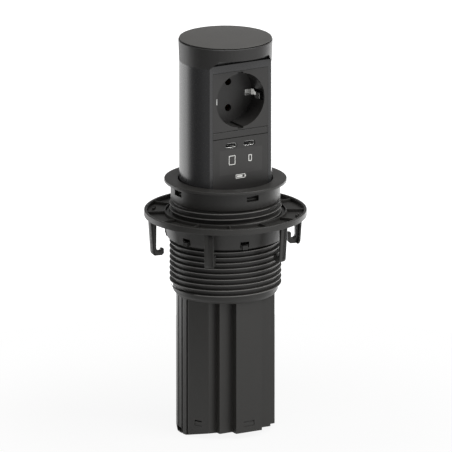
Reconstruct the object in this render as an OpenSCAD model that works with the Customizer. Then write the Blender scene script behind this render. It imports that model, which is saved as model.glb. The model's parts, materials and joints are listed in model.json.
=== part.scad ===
// Pop up desk socket: a round tower with a flat face that rises out of a hole in a desk.
// The origin is on the axis, in the plane of the desk top, which is the trim ring's underside.
// Z points up, and the socket face looks towards -Y. The tower is drawn fully up.
// Angles round the axis are zero at the front and grow anticlockwise seen from above.

/* [Tower] */
// Height of the tower's top above the trim ring when it is up
tower_up = 102.5; // [101:0.5:110]
// Distance from the axis to the flat socket face
face_y = 21.2; // [20.8:0.1:21.6]
// Width of the shell beside the modules, measured across the flat face
face_side = 2.53; // [2.2:0.01:2.8]
// Wall of the tower shell
shell_wall = 1.8; // [1.6:0.1:2]
// How far the tower is pushed below its locked place to release it
push_in = 2; // [1:0.25:2.5]

/* [Cap] */
// Height of the whole cap at the round side
cap_h = 15.9; // [14.5:0.1:17]
// Height of the lid's edge above the cap's rim
lid_t = 1; // [0.8:0.1:2]
// How far the cap's rim stands out past the tower
lid_lip = 0.5; // [0.1:0.1:0.6]
// How far the lid's edge stands back from the cap's rim
lid_inset = 0.5; // [0.3:0.1:0.8]
// Wall of the cap's skirt
cap_wall = 1.6; // [1.2:0.1:1.8]
// Height of the finger recess under the front of the cap
finger_h = 4.6; // [4.4:0.1:6]
// Depth of the finger recess behind the socket face
finger_d = 2.8; // [2:0.1:3.4]
// Height of the cap's front rim above the finger recess
cap_front_h = 9.7; // [9:0.1:10.5]

/* [Modules] */
// Gap round a module in its opening
module_gap = 0.1; // [0.05:0.05:0.2]
// Height of the plain strip between the modules
strip_h = 5.3; // [4:0.1:6]
// Height of the charger module
charger_h = 44.4; // [42:0.1:45]
// Thickness of the modules' front plates
plate_t = 1.6; // [1.2:0.1:1.8]

/* [Mains socket] */
// Diameter of the round plug recess
recess_d = 39.2; // [38.8:0.1:39.6]
// Width of the socket module's border at both sides of the recess
recess_side = 2.9; // [2.5:0.05:3.1]
// Height of the socket module's border above and below the recess
recess_rim = 1.95; // [1.8:0.05:2.5]
// Depth of the plug recess
recess_depth = 17.5; // [17:0.1:18.5]
// Distance between the two pin holes
pin_spacing = 19; // [18.8:0.1:19.2]
// Diameter of a pin hole
pin_hole_d = 5.2; // [5:0.1:5.6]
// Width of the guide notches at the top and bottom of the recess
notch_w = 4.6; // [4:0.1:5.5]
// Depth of the guide notches
notch_d = 1.1; // [0.8:0.1:1.2]

/* [Charging ports] */
// Distance between the two ports
port_pitch = 14.6; // [13:0.1:18]
// Width of a port's metal shell
port_w = 9; // [8.6:0.1:9.4]
// Height of a port's metal shell
port_h = 3.3; // [3.1:0.1:3.6]
// Wall of a port's metal shell
port_wall = 0.3; // [0.25:0.05:0.4]
// Distance from the top of the charger module down to the ports
port_drop = 5.4; // [4.5:0.1:7]

/* [Trim and sleeve] */
// How far the trim ring reaches out past the thread
trim_reach = 3.65; // [3:0.05:6.5]
// Thickness of the trim ring above the desk
trim_t = 2; // [1.8:0.1:2.5]
// Height of the trim ring's skirt inside the sleeve
trim_skirt = 10; // [9:0.5:11]
// Wall of the sleeve below the desk
sleeve_wall = 1.85; // [1.6:0.05:2.2]
// Length of the sleeve
sleeve_len = 81.2; // [80:0.2:84]
// Distance between two turns of the thread
thread_pitch = 4; // [3.8:0.1:4.2]
// How far the thread stands out of the sleeve
thread_h = 2.4; // [2:0.1:2.4]
// How far the sleeve's neck stands out above the thread
band_t = 1.55; // [1.2:0.05:1.8]
// Width of the snap windows in the sleeve
window_w = 9.6; // [8:0.1:11]
// Height of the snap windows in the sleeve
window_h = 4; // [3.5:0.1:4.5]

/* [Guide tube] */
// Wall of the guide tube
tube_wall = 2.1; // [2:0.05:2.3]
// Gap between the tower's round side and the bore of the tube
bore_gap = 0.4; // [0.3:0.05:0.45]
// How deep the flat front panel is cut into the tube
front_cut = 1.75; // [1.4:0.05:1.9]
// How deep the flat panels at the sides and back are cut into the tube
panel_cut = 0.8; // [0.7:0.05:1.3]
// Half the width of the tube's front panel
step_half = 10.5; // [10:0.1:11]
// Width of the first step beside the front panel
step_w = 10.3; // [9.5:0.1:10.5]
// How far the second step lies behind the first
step_rise = 4.9; // [4.4:0.1:5.2]
// Wall of the steps
step_wall = 1.3; // [1:0.1:1.4]
// Height kept free for the leads under the tower when it is down
lead_space = 50.5; // [47:0.5:60]

/* [Clamp] */
// How far the clamp ring reaches out past its hub
clamp_reach = 14.3; // [12.9:0.1:16.9]
// Height of the clamp ring's rim
clamp_h = 4.4; // [4:0.1:5.5]
// Depth of the clamp ring's top below the desk plane
clamp_drop = 20.9; // [19:0.1:23]
// How far the hooks reach down from the clamp ring
hook_len = 25; // [20:0.2:28]
// Height of the nut below the clamp ring
nut_h = 14.7; // [14:0.1:16]
// Thickness of the nut at its shoulder under the clamp ring
nut_wall = 3.7; // [3.5:0.1:4.7]

/* [Lift and latch] */
// Radius of the gas spring's cylinder
spring_r = 6; // [5.5:0.1:7]
// Wall of the gas spring's cylinder
spring_wall = 1; // [0.8:0.1:1.2]
// Radius of the gas spring's rod
rod_r = 2.5; // [2:0.1:3]
// Gap between the gas spring and the tower's wall behind it
spring_gap = 0.9; // [0.6:0.1:1.5]
// Radius of the latch lever's pin
latch_pin_r = 1.5; // [1.2:0.1:1.8]

/* [Hidden] */
$fn = 96;

eps = 0.01;
cut = 1;
run_fit = 0.3;
pin_fit = 0.05;
seat_fit = 0.15;

shell_colour = "#3a3a3b";
cap_colour = "#4b4a48";
lid_colour = "#5f5d5b";
face_colour = "#454442";
body_colour = "#2c2b2a";
metal_colour = "#b9b8b4";
brass_colour = "#b08d4a";
rubber_colour = "#1c1c1c";
board_colour = "#1f4a33";

// Radii, from the plug recess outwards
recess_r = recess_d / 2;
notch_r = recess_r + notch_d;
module_w = recess_d + 2 * recess_side;
socket_h = recess_d + 2 * recess_rim;
face_half = module_w / 2 + face_side;
tower_r = sqrt(face_y * face_y + face_half * face_half);
lid_gap = 0.35;
rim_r = tower_r + lid_lip;
lid_r = rim_r - lid_inset;
opening_r = rim_r + lid_gap;
bore_r = tower_r + bore_gap;
tube_r = bore_r + tube_wall;
tube_fit = 0.15;
sleeve_bore = tube_r + tube_fit;
sleeve_r = sleeve_bore + sleeve_wall;
band_r = sleeve_r + band_t;
crest_r = sleeve_r + thread_h;
trim_r = crest_r + trim_reach;

// Levels of the tower when it is up
travel = tower_up + push_in;
cap_z1 = trim_t + tower_up;
lid_z0 = cap_z1 - lid_t;
cap_z0 = cap_z1 - cap_h;
overhang_z = cap_z1 - cap_front_h;
face_z1 = overhang_z - finger_h;
face_border = 5.4;
socket_z1 = face_z1 - face_border;
socket_z0 = socket_z1 - socket_h;
socket_z = (socket_z0 + socket_z1) / 2;
charger_z1 = socket_z0 - strip_h;
charger_z0 = charger_z1 - charger_h;
shell_foot = 0.5;
shell_z0 = charger_z0 - shell_foot;
carriage_h = 13.5;
carriage_z0 = shell_z0 - carriage_h;
floor_t = 2.5;
neck_r = tower_r - cap_wall - seat_fit;
neck_wall = 1.5;
neck_drop = 6;
neck_z1 = lid_z0 - neck_drop;
neck_plate = 2.5;
finger_y = face_y - finger_d;
apron_drop = 6.5;
apron_z1 = trim_t - apron_drop;

// Panels, steps and slits of the tube
front_panel_y = tube_r - front_cut;
panel_y = tube_r - panel_cut;
step2_half = step_half + step_w;
step2_y = face_y + bore_gap + step_wall;
step1_y = step2_y + step_rise;
panel_angles = [0, 64, -64, 116, -116, 180];
function panel_at(a) = a == 0 ? front_panel_y : panel_y;
slit_angles = [80.2, 90.5, 99.8];
slit_w = 1.6;
slit_d = 0.9;

// Levels of the fixed housing
skirt_gap = 2;
tube_z1 = -(trim_skirt + skirt_gap);
collar_drop = 1;
collar_z0 = cap_z0 - travel - collar_drop;
seat_rise = 0.4;
band_z0 = -12.6;
window_z = -4.6;
tube_z0 = carriage_z0 - travel - lead_space;
base_t = 2.4;
base_z1 = tube_z0 + base_t;
base_skirt = 12;
base_wall = 1.6;
snap_up = 6.4;
snap_z = tube_z0 + snap_up;
snap_h = 4;
snap_widths = [8.5, 6, 6, 6, 6, 8.5];

// Thread
thread_foot = 5.4;
thread_top = 13.6;
thread_z0 = -(sleeve_len - thread_foot);
thread_a0 = -120;
thread_turns = (sleeve_len - thread_foot - thread_top) / thread_pitch;
thread_root = 1.7;
thread_crest = 0.6;
thread_steps = 36;

// Clamp ring and nut
clamp_z1 = -clamp_drop;
clamp_z0 = clamp_z1 - clamp_h;
nut_bore = crest_r + run_fit;
nut_neck_wall = 1.4;
nut_neck_r = nut_bore + nut_neck_wall;
nut_r = nut_bore + nut_wall;
hub_bore = nut_neck_r + run_fit;
hub_wall = 1.6;
hub_r = hub_bore + hub_wall;
hub_drop = 0.6;
lip_r = hub_bore + 0.5;
lip_bore = lip_r + run_fit;
lip_t = 0.6;
lip_drop = 3;
lip_seat = clamp_z1 - lip_drop;
clamp_r = hub_r + clamp_reach;
clamp_floor = 1.4;
clamp_rim = 1.9;
rib_drop = 0.9;
rib_count = 12;
rib_t = 1.2;
rib_a0 = -26;
hook_count = 6;
hook_a0 = -41;
low_foot = 3.2;
low_tip = 1.5;
tall_foot = 3.6;
tall_tip = 4.5;
catch_a0 = -11;
nut_z1 = clamp_z0 - run_fit;
nut_z0 = clamp_z0 - nut_h;

// Lift and latch
spring_y = tower_r - shell_wall - spring_r - spring_gap;
spring_bore = spring_r - spring_wall;
spring_z0 = base_z1;
spring_foot = 3;
spring_top_gap = 2;
spring_z1 = carriage_z0 - spring_top_gap;
gland_t = 6;
piston_t = 4;
piston_z1 = spring_z1 - gland_t - piston_t;
rod_shoulder_z = neck_z1 - neck_plate;
stud_step = 0.5;
stud_r = rod_r - stud_step;
rod_nut_r = 4.2;
rod_nut_t = 2.5;
striker_y0 = -14.2;
striker_y1 = -12;
striker_len = 12;
striker_half = 3.5;
striker_foot_half = 8.5;
striker_foot_t = 1.5;
striker_screw_x = 6;
catch_window_drop = 5.5;
catch_window_z1 = carriage_z0 - catch_window_drop;
catch_window_h = 5;
nose_gap = 0.4;
nose_seat = 0.1;
nose_z1 = catch_window_z1 - travel - nose_gap;
nose_z0 = catch_window_z1 - catch_window_h - tower_up + nose_seat;
latch_y = -6.6;
lever_len = 15;
latch_z = nose_z0 - lever_len;
lever_w = 6;
lever_y0 = -8.2;
lever_y1 = -5;
lever_hub_wall = 1.6;
nose_w = 4;
nose_reach = 0.5;
nose_tip_y = striker_y1 + nose_reach;
hub_half = 9.8;
upright_x0 = 10.5;
upright_x1 = 16;
upright_y0 = -12;
upright_y1 = -2;
buffer_gap = 0.5;
buffer_z1 = carriage_z0 - travel - buffer_gap;
buffer_t = 4;

// Screw places in the tower
boss_r = 3.4;
boss_sink = 0.2;
boss_c = tower_r - shell_wall - boss_r + boss_sink;
boss_h = 14;
boss_angles = [90, -90, 135, -135];
screw_r = 1.5;
screw_hole = 1.6;
head_r = 2.8;
head_t = 1.8;
lid_boss_c = 14;
lid_boss_angles = [0, 120, -120];

// Socket
cup_r = module_w / 2 - seat_fit;
back_gap = 0.1;
cup_y0 = -face_y + shell_wall + back_gap;
cup_floor = 2;
recess_y = -face_y + recess_depth;
cup_y1 = recess_y + cup_floor;
contact_len = 9;
contact_r = 4.2;
contact_bore = 3.1;
terminal_x = 9;
terminal_len = 7;
cover_gap = 0.8;
cover_wall = 1.2;
cover_y1 = spring_y - spring_r - cover_gap;
clip_t = 0.8;
clip_w = 4.6;
clip_pocket_w = 6.8;
clip_pocket_r = recess_r + 1.6;
clip_slot_x = recess_r - 6;
clip_out = 0.6;
clip_in = 2;
clip_knee = 3;
clip_waist = 9;
clip_bow = 11;
clip_end = 14;
lead_x = -10;
lead_r = 3;
lead_slot = 10;

// Charger
charger_z = (charger_z0 + charger_z1) / 2;
port_z = charger_z1 - port_drop;
board_depth = 7.5;
board_y0 = -face_y + board_depth;
board_t = 1.6;
board_y1 = board_y0 + board_t;
board_side = 3.35;
board_half = module_w / 2 - board_side;
board_up = 4;
board_down = 1.8;
board_z0 = charger_z0 + board_up;
board_z1 = charger_z1 - board_down;
post_in = 2.5;
post_x = board_half - post_in;
post_r = 2.6;
post_up = 4;
post_down = 12;
post_levels = [board_z0 + post_up, board_z1 - post_down];
board_screw_r = 1;
board_screw_len = 3;
board_head_t = 1.2;
charger_depth = 28.2;
charger_cover_y1 = -face_y + charger_depth;

module at(a) {
    rotate([0, 0, a]) children();
}

module slab(x0, x1, y0, y1, z0, z1) {
    translate([x0, y0, z0]) cube([x1 - x0, y1 - y0, z1 - z0]);
}

module post(r, z0, z1) {
    translate([0, 0, z0]) cylinder(r = r, h = z1 - z0);
}

module along_y(r, y0, y1, x, z) {
    translate([x, y0, z]) rotate([-90, 0, 0]) cylinder(r = r, h = y1 - y0);
}

module along_x(r, half, y, z) {
    translate([-half, y, z]) rotate([0, 90, 0]) cylinder(r = r, h = 2 * half);
}

module ring(r0, r1, z0, z1) {
    difference() {
        post(r1, z0, z1);
        post(r0, z0 - cut, z1 + cut);
    }
}

// A circle cut flat at the front, y0 in front of the axis
module d_circle(r, y0) {
    intersection() {
        circle(r);
        translate([-r - 1, -y0]) square([2 * r + 2, y0 + r + 1]);
    }
}

module d_tube(r, y0, wall, z0, z1) {
    translate([0, 0, z0]) linear_extrude(z1 - z0) difference() {
        d_circle(r, y0);
        d_circle(r - wall, y0 - wall);
    }
}

// The front piece of a circle that the flat face leaves over
module front_segment(r, y0, z0, z1) {
    translate([0, 0, z0]) linear_extrude(z1 - z0) intersection() {
        circle(r);
        translate([-r - 1, -r - 1]) square([2 * r + 2, r + 1 - y0]);
    }
}

// A flat outline in the radius and height plane, given a thickness across the radius
module radial_plate(points, w) {
    rotate([90, 0, -90]) linear_extrude(w, center = true) polygon(points);
}

// One helical ridge as a closed solid, r_in at its foot and r_out at its tip
module helix(r_foot, r_tip, foot_w, tip_w, z0, a0, turns, pitch) {
    steps = ceil(turns * thread_steps);
    da = 360 * turns / steps;
    fade = 4;
    function grow(i) = min(1, min(i, steps - i) / fade);
    function tip(i) = r_foot + (r_tip - r_foot) * max(0.2, grow(i));
    function ring_at(i) = let (a = a0 + da * i, z = z0 + pitch * da * i / 360) [
        [r_foot * sin(a), -r_foot * cos(a), z - foot_w / 2],
        [tip(i) * sin(a), -tip(i) * cos(a), z - tip_w / 2],
        [tip(i) * sin(a), -tip(i) * cos(a), z + tip_w / 2],
        [r_foot * sin(a), -r_foot * cos(a), z + foot_w / 2]
    ];
    points = [for (i = [0 : steps]) each ring_at(i)];
    inward = r_tip < r_foot;
    function face(f) = inward ? f : [f[2], f[1], f[0]];
    sides = [for (i = [0 : steps - 1], k = [0 : 3]) let (
        p = 4 * i + k,
        q = 4 * i + (k + 1) % 4
    ) each [face([p, p + 4, q]), face([q, p + 4, q + 4])]];
    n = 4 * steps;
    ends = [
        face([0, 1, 2]), face([0, 2, 3]),
        face([n + 2, n + 1, n]), face([n + 3, n + 2, n])
    ];
    polyhedron(points = points, faces = concat(sides, ends), convexity = 20);
}

module trim_ring() {
    edge = 0.45;
    ease = 0.35;
    sink = 0.9;
    root = 0.6;
    bevel = 1;
    lug_r = sleeve_r - sink;
    lug_h = 2;
    lug_z0 = window_z - window_h / 2 + 0.1;
    lug_z1 = lug_z0 + lug_h;
    color(body_colour) union() {
        rotate_extrude() union() {
            difference() {
                translate([opening_r, 0]) square([trim_r - opening_r, trim_t]);
                translate([trim_r - edge, trim_t - edge]) difference() {
                    square(edge + cut);
                    circle(edge);
                }
                translate([opening_r, trim_t - ease])
                    polygon([[-eps, 0], [-eps, ease + eps], [ease, ease + eps]]);
                translate([tube_r, -cut]) square([band_r + seat_fit - tube_r, seat_rise + cut]);
            }
            translate([opening_r, -trim_skirt]) square([tube_r - opening_r, trim_skirt + seat_rise + eps]);
        }
        for (a = [0 : 90 : 270])
            at(a) difference() {
                slab(-window_w / 2 + seat_fit, window_w / 2 - seat_fit,
                    -lug_r, -opening_r - root, lug_z0, lug_z1);
                translate([0, -lug_r, lug_z1]) rotate([45, 0, 0])
                    cube([window_w + cut, bevel, bevel], center = true);
            }
    }
}

module threaded_sleeve() {
    foot = 0.3;
    chamfer = 2;
    slope = 1.2;
    color(body_colour) difference() {
        union() {
            rotate_extrude() polygon([
                [sleeve_bore, seat_rise], [band_r, seat_rise], [band_r, band_z0], [sleeve_r, band_z0 - slope],
                [sleeve_r, -sleeve_len + chamfer + 0.4], [sleeve_r - chamfer + 0.2, -sleeve_len],
                [sleeve_bore, -sleeve_len]
            ]);
            helix(sleeve_r - foot, crest_r, thread_root, thread_crest, thread_z0, thread_a0,
                thread_turns, thread_pitch);
        }
        for (a = [0 : 90 : 270])
            at(a) slab(-window_w / 2, window_w / 2, -crest_r - cut, -sleeve_bore + cut,
                window_z - window_h / 2, window_z + window_h / 2);
    }
}

// A circle cut back in two steps at both sides of its front
module stepped(r, inset) {
    difference() {
        circle(r);
        for (s = [-1, 1], p = [[step_half, step1_y], [step2_half, step2_y]])
            scale([s, 1]) translate([p[0] - inset, -r - cut]) square([r, r + cut - p[1] + inset]);
    }
}

module tube_outline() {
    difference() {
        stepped(tube_r, 0);
        for (a = panel_angles)
            rotate(a) translate([-tube_r, -tube_r - cut]) square([2 * tube_r, tube_r + cut - panel_at(a)]);
        for (s = [-1, 1], a = slit_angles)
            rotate(s * a) translate([-slit_w / 2, -tube_r - cut]) square([slit_w, slit_d + cut]);
    }
}

// The bore of the tube, with a margin taken off for what slides or sits in it
module bore_outline(margin) {
    stepped(bore_r - margin, step_wall + margin);
}

module guide_tube() {
    color(body_colour) difference() {
        union() {
            translate([0, 0, tube_z0]) linear_extrude(collar_z0 - tube_z0) difference() {
                tube_outline();
                bore_outline(0);
            }
            translate([0, 0, collar_z0 - step_wall]) linear_extrude(step_wall) difference() {
                circle(tube_r);
                bore_outline(0);
            }
            ring(bore_r, tube_r, collar_z0 - eps, tube_z1);
        }
        for (i = [0 : len(panel_angles) - 1])
            at(panel_angles[i]) slab(-snap_widths[i] / 2, snap_widths[i] / 2, -tube_r - cut, -bore_r + cut,
                snap_z - snap_h / 2, snap_z + snap_h / 2);
    }
}

module base_cap() {
    chin_a = -102;
    chin_h = 4.2;
    chin_half = 12;
    chin_run = 16;
    outlet_r = 4.6;
    outlet_c = 21;
    slot_w = 12;
    slot_floor = 0.9;
    slot_top = 0.5;
    collar_wall = 1.6;
    spring_collar_h = 8;
    outlet_collar_h = 5;
    lug_top = 1;
    lug_sink = 0.25;
    lug_in = bore_r - base_wall;
    chin_z = tube_z0 - chin_h;
    outlet_z1 = base_z1 + outlet_collar_h;
    color(body_colour) difference() {
        union() {
            translate([0, 0, tube_z0]) linear_extrude(base_t) bore_outline(seat_fit);
            translate([0, 0, tube_z0]) linear_extrude(base_skirt) difference() {
                bore_outline(seat_fit);
                bore_outline(seat_fit + base_wall);
            }
            for (i = [0 : len(panel_angles) - 1])
                at(panel_angles[i]) slab(-snap_widths[i] / 2 + seat_fit, snap_widths[i] / 2 - seat_fit,
                    lug_sink - panel_at(panel_angles[i]), -lug_in,
                    snap_z - snap_h / 2 + seat_fit, snap_z + lug_top);
            translate([0, spring_y, 0])
                ring(spring_r + seat_fit, spring_r + collar_wall, base_z1 - eps, base_z1 + spring_collar_h);
            intersection() {
                translate([0, 0, chin_z]) union() {
                    linear_extrude(chin_h - pin_fit) tube_outline();
                    linear_extrude(chin_h + eps) bore_outline(seat_fit);
                }
                at(chin_a) rotate([90, 0, 0]) linear_extrude(tube_r) polygon([
                    [-chin_half - chin_run, tube_z0 + eps], [-chin_half, chin_z],
                    [chin_half, chin_z], [chin_half + chin_run, tube_z0 + eps]
                ]);
            }
            at(chin_a) translate([0, -outlet_c, 0]) post(outlet_r + collar_wall, base_z1 - eps, outlet_z1);
        }
        at(chin_a) translate([0, -outlet_c, 0]) post(outlet_r, chin_z - cut, outlet_z1 + cut);
        at(chin_a)
            slab(-slot_w / 2, slot_w / 2, -tube_r - cut, -outlet_c, chin_z + slot_floor, tube_z0 - slot_top);
    }
}

// A hook whose tip stands tip_h above its foot, over a foot of thickness foot_t
module clamp_hook(foot_t, tip_h) {
    top_r = clamp_r - 1.2;
    foot_r = top_r - 1.6;
    z0 = clamp_z0 - hook_len;
    foot_z1 = z0 + foot_t;
    tip_r = top_r - 9.8;
    tip_z1 = foot_z1 + tip_h;
    tip_t = 2;
    leg_t = 4.3;
    toe = 1.4;
    heel = 2.4;
    crook = 1.8;
    plate_w = 6.6;
    web_w = 4.2;
    skin = 1.4;
    outer = [[top_r, clamp_z0 + eps], [foot_r, z0 + heel], [foot_r - heel / 2, z0]];
    inner = [[tip_r + toe, z0], [tip_r, z0 + toe], [tip_r, tip_z1 - 0.5], [tip_r + 0.5, tip_z1],
        [tip_r + tip_t, tip_z1], [tip_r + tip_t, foot_z1], [foot_r - leg_t, foot_z1],
        [foot_r - leg_t + crook * 0.8, foot_z1 + crook * 0.6], [foot_r - leg_t + crook, foot_z1 + 2 * crook],
        [top_r - leg_t, clamp_z0 + eps]];
    back = [[foot_r - skin - heel / 2, z0], [foot_r - skin, z0 + heel], [top_r - skin, clamp_z0 + eps]];
    radial_plate(concat(outer, inner), web_w);
    translate([(web_w - plate_w) / 2, 0, 0]) radial_plate(concat(outer, back), plate_w);
}

module clamp_ring() {
    ease = 0.5;
    bump_r = 1.1;
    bump_c = clamp_r - 5.9;
    bump_half = 1.9;
    bump_h = 1.8;
    floor_z = clamp_z0 + clamp_floor;
    hub_z1 = clamp_z1 - hub_drop;
    color(body_colour) union() {
        rotate_extrude() polygon([
            [hub_bore, clamp_z0], [clamp_r - ease, clamp_z0], [clamp_r, clamp_z0 + ease],
            [clamp_r, clamp_z1 - ease], [clamp_r - ease, clamp_z1], [clamp_r - clamp_rim, clamp_z1],
            [clamp_r - clamp_rim, floor_z], [hub_r, floor_z], [hub_r, hub_z1], [lip_bore, hub_z1],
            [lip_bore, lip_seat], [hub_bore, lip_seat]
        ]);
        for (k = [0 : rib_count - 1])
            at(rib_a0 + 360 / rib_count * k)
                slab(-rib_t / 2, rib_t / 2, -(clamp_r - clamp_rim + 0.5), -(hub_r - 0.5),
                    floor_z - eps, clamp_z1 - rib_drop);
        for (k = [0 : hook_count - 1]) {
            at(hook_a0 + 360 / hook_count * k)
                clamp_hook(k % 2 == 0 ? tall_foot : low_foot, k % 2 == 0 ? tall_tip : low_tip);
            for (s = [-1, 1])
                at(catch_a0 + 360 / hook_count * k) translate([s * bump_half, -bump_c, 0])
                    post(bump_r, floor_z - eps, floor_z + bump_h);
        }
    }
}

module lock_nut() {
    lip_z0 = lip_seat + run_fit;
    lip_z1 = lip_z0 + lip_t;
    lip_ease = 0.3;
    waist_r = nut_r - 1.8;
    waist_z = nut_z0 + 3;
    hem_r = nut_r - 2.5;
    catch_w = 6.5;
    catch_h = 2.2;
    catch_z1 = waist_z + 2.5;
    slot_w = 0.7;
    hem_h = 0.9;
    lug_w = 3.8;
    lug_h = 3.1;
    lug_out = 1.4;
    ridge_foot = 0.3;
    ridge_drop = 6;
    groove_z = thread_z0 + thread_pitch / 2;
    ridge_z = groove_z + thread_pitch * floor((nut_z1 - ridge_drop - groove_z) / thread_pitch);
    color(body_colour) difference() {
        union() {
            rotate_extrude() polygon([
                [nut_bore, nut_z0], [hem_r, nut_z0], [waist_r, waist_z], [nut_r, nut_z1 - 1], [nut_r, nut_z1],
                [nut_neck_r, nut_z1], [nut_neck_r, lip_z0], [lip_r, lip_z0], [lip_r - lip_ease, lip_z1],
                [nut_bore, lip_z1]
            ]);
            helix(nut_bore + ridge_foot, sleeve_r + 0.4, 1.2, 0.7, ridge_z, thread_a0, 1.2, thread_pitch);
            for (k = [0 : hook_count - 1])
                at(catch_a0 + 360 / hook_count * k)
                    slab(-lug_w / 2, lug_w / 2, -waist_r - lug_out, -nut_bore - ridge_foot,
                        waist_z - lug_h, waist_z);
        }
        for (k = [0 : hook_count - 1])
            at(catch_a0 + 360 / hook_count * k) {
                slab(-catch_w / 2, catch_w / 2, -nut_r - cut, -nut_bore + cut, catch_z1 - catch_h, catch_z1);
                for (s = [-1, 1])
                    translate([s * (catch_w - slot_w) / 2, 0, 0])
                        slab(-slot_w / 2, slot_w / 2, -nut_r - cut, -nut_bore + cut,
                            nut_z0 + hem_h, catch_z1 - eps);
            }
    }
}

module spring_cylinder() {
    color(body_colour) translate([0, spring_y, 0]) difference() {
        post(spring_r, spring_z0, spring_z1);
        post(spring_bore, spring_z0 + spring_foot, spring_z1 + cut);
    }
}

module rod_guide() {
    color(metal_colour) translate([0, spring_y, 0])
        ring(rod_r + pin_fit, spring_bore, spring_z1 - gland_t, spring_z1);
}

module latch_frame() {
    foot_t = 2;
    foot_front = 6;
    foot_side = 2;
    color(body_colour) difference() {
        union() {
            slab(-upright_x1 - foot_side, upright_x1 + foot_side, upright_y0 - foot_front, upright_y1,
                base_z1, base_z1 + foot_t);
            for (s = [-1, 1])
                slab(min(s * upright_x0, s * upright_x1), max(s * upright_x0, s * upright_x1),
                    upright_y0, upright_y1, base_z1 + foot_t - eps, buffer_z1 - buffer_t);
        }
        along_x(latch_pin_r, upright_x1 + cut, latch_y, latch_z);
    }
}

module latch_pin() {
    color(metal_colour) along_x(latch_pin_r, upright_x1, latch_y, latch_z);
}

module latch_lever() {
    color(metal_colour) difference() {
        union() {
            slab(-lever_w / 2, lever_w / 2, lever_y0, lever_y1, latch_z, nose_z1);
            slab(-nose_w / 2, nose_w / 2, nose_tip_y, lever_y0 + eps, nose_z0, nose_z1);
            along_x(latch_pin_r + lever_hub_wall, hub_half, latch_y, latch_z);
        }
        along_x(latch_pin_r + pin_fit, hub_half + cut, latch_y, latch_z);
    }
}

module end_buffers() {
    x = (upright_x0 + upright_x1) / 2;
    y = (upright_y0 + upright_y1) / 2;
    r = (upright_x1 - upright_x0) / 2 - 0.2;
    color(rubber_colour)
        for (s = [-1, 1])
            translate([s * x, y, 0]) post(r, buffer_z1 - buffer_t, buffer_z1);
}

module cap_lid() {
    edge = 0.25;
    undercut = 0.45;
    skin = 2;
    boss = 3;
    spigot_r = tower_r - cap_wall - seat_fit;
    spigot_wall = 1.6;
    spigot_h = 2.6;
    spigot_z = lid_z0 - spigot_h;
    color(lid_colour) difference() {
        union() {
            rotate_extrude() difference() {
                polygon([
                    [0, spigot_z], [spigot_r, spigot_z], [spigot_r, lid_z0], [lid_r - undercut, lid_z0],
                    [lid_r, cap_z1 - 2 * edge], [lid_r, cap_z1 - edge], [lid_r - edge, cap_z1], [0, cap_z1]
                ]);
                translate([-cut, spigot_z - cut])
                    square([spigot_r - spigot_wall + cut, cap_z1 - skin - spigot_z + cut]);
            }
            for (a = lid_boss_angles)
                at(a) translate([0, -lid_boss_c, 0]) post(boss, neck_z1, cap_z1 - skin + eps);
        }
        for (a = lid_boss_angles)
            at(a) translate([0, -lid_boss_c, 0]) post(screw_r + pin_fit, neck_z1 - cut, cap_z1 - skin);
    }
}

// The slanted sides of the finger recess, as seen from the front
module finger_prism(margin) {
    flare = 0.16;
    slant = 4.84;
    w0 = face_half + flare;
    w1 = face_half - slant;
    rotate([90, 0, 0]) linear_extrude(tower_r + 2) polygon([
        [-w0 + margin, cap_z0 - eps], [w0 - margin, cap_z0 - eps],
        [w1 - margin, overhang_z], [-w1 + margin, overhang_z]
    ]);
}

module cap_skirt() {
    soffit = 1.6;
    ease = 0.4;
    color(cap_colour) difference() {
        union() {
            rotate_extrude() polygon([
                [tower_r - cap_wall, cap_z0], [tower_r, cap_z0], [rim_r, lid_z0 - ease],
                [rim_r - ease, lid_z0], [tower_r - cap_wall, lid_z0]
            ]);
            front_segment(tower_r - 0.4, finger_y + seat_fit, overhang_z, overhang_z + soffit);
        }
        intersection() {
            finger_prism(0);
            slab(-rim_r, rim_r, -rim_r - cut, -finger_y + 4, cap_z0 - cut, overhang_z);
        }
    }
}

module cap_screws() {
    color(metal_colour)
        for (a = lid_boss_angles)
            at(a) translate([0, -lid_boss_c, 0]) union() {
                post(screw_r, rod_shoulder_z - eps, cap_z1 - 3);
                post(head_r, rod_shoulder_z - head_t, rod_shoulder_z);
            }
}

module tower_shell() {
    inner_r = tower_r - shell_wall;
    inner_y = face_y - shell_wall;
    color(shell_colour) difference() {
        union() {
            d_tube(tower_r, face_y, shell_wall, shell_z0, cap_z0);
            translate([0, 0, cap_z0 - 2]) linear_extrude(2) difference() {
                d_circle(tower_r - 0.4, face_y - 0.4);
                d_circle(neck_r - neck_wall, finger_y - neck_wall);
            }
            intersection() {
                d_tube(tower_r, face_y, shell_wall + 0.2, cap_z0 - eps, face_z1);
                finger_prism(seat_fit);
            }
            translate([0, 0, face_z1 - 1.6]) linear_extrude(1.6) difference() {
                d_circle(neck_r, face_y - 0.4);
                d_circle(neck_r - neck_wall, finger_y - neck_wall);
            }
            d_tube(neck_r, finger_y, neck_wall, cap_z0 - 2, neck_z1);
            translate([0, 0, rod_shoulder_z]) linear_extrude(neck_plate) d_circle(neck_r, finger_y);
            for (a = boss_angles)
                at(a) translate([0, -boss_c, 0]) post(boss_r, shell_z0, shell_z0 + boss_h);
        }
        slab(-module_w / 2, module_w / 2, -face_y - cut, -inner_y + cut,
            shell_z0 - cut, socket_z1 + module_gap);
        for (a = boss_angles)
            at(a) translate([0, -boss_c, 0]) post(screw_r + pin_fit, shell_z0 - cut, shell_z0 + boss_h - 2);
        for (a = lid_boss_angles)
            at(a) translate([0, -lid_boss_c, 0]) post(screw_hole, rod_shoulder_z - cut, neck_z1 + cut);
        translate([0, spring_y, 0]) post(stud_r + pin_fit, rod_shoulder_z - cut, neck_z1 + cut);
    }
}

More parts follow.
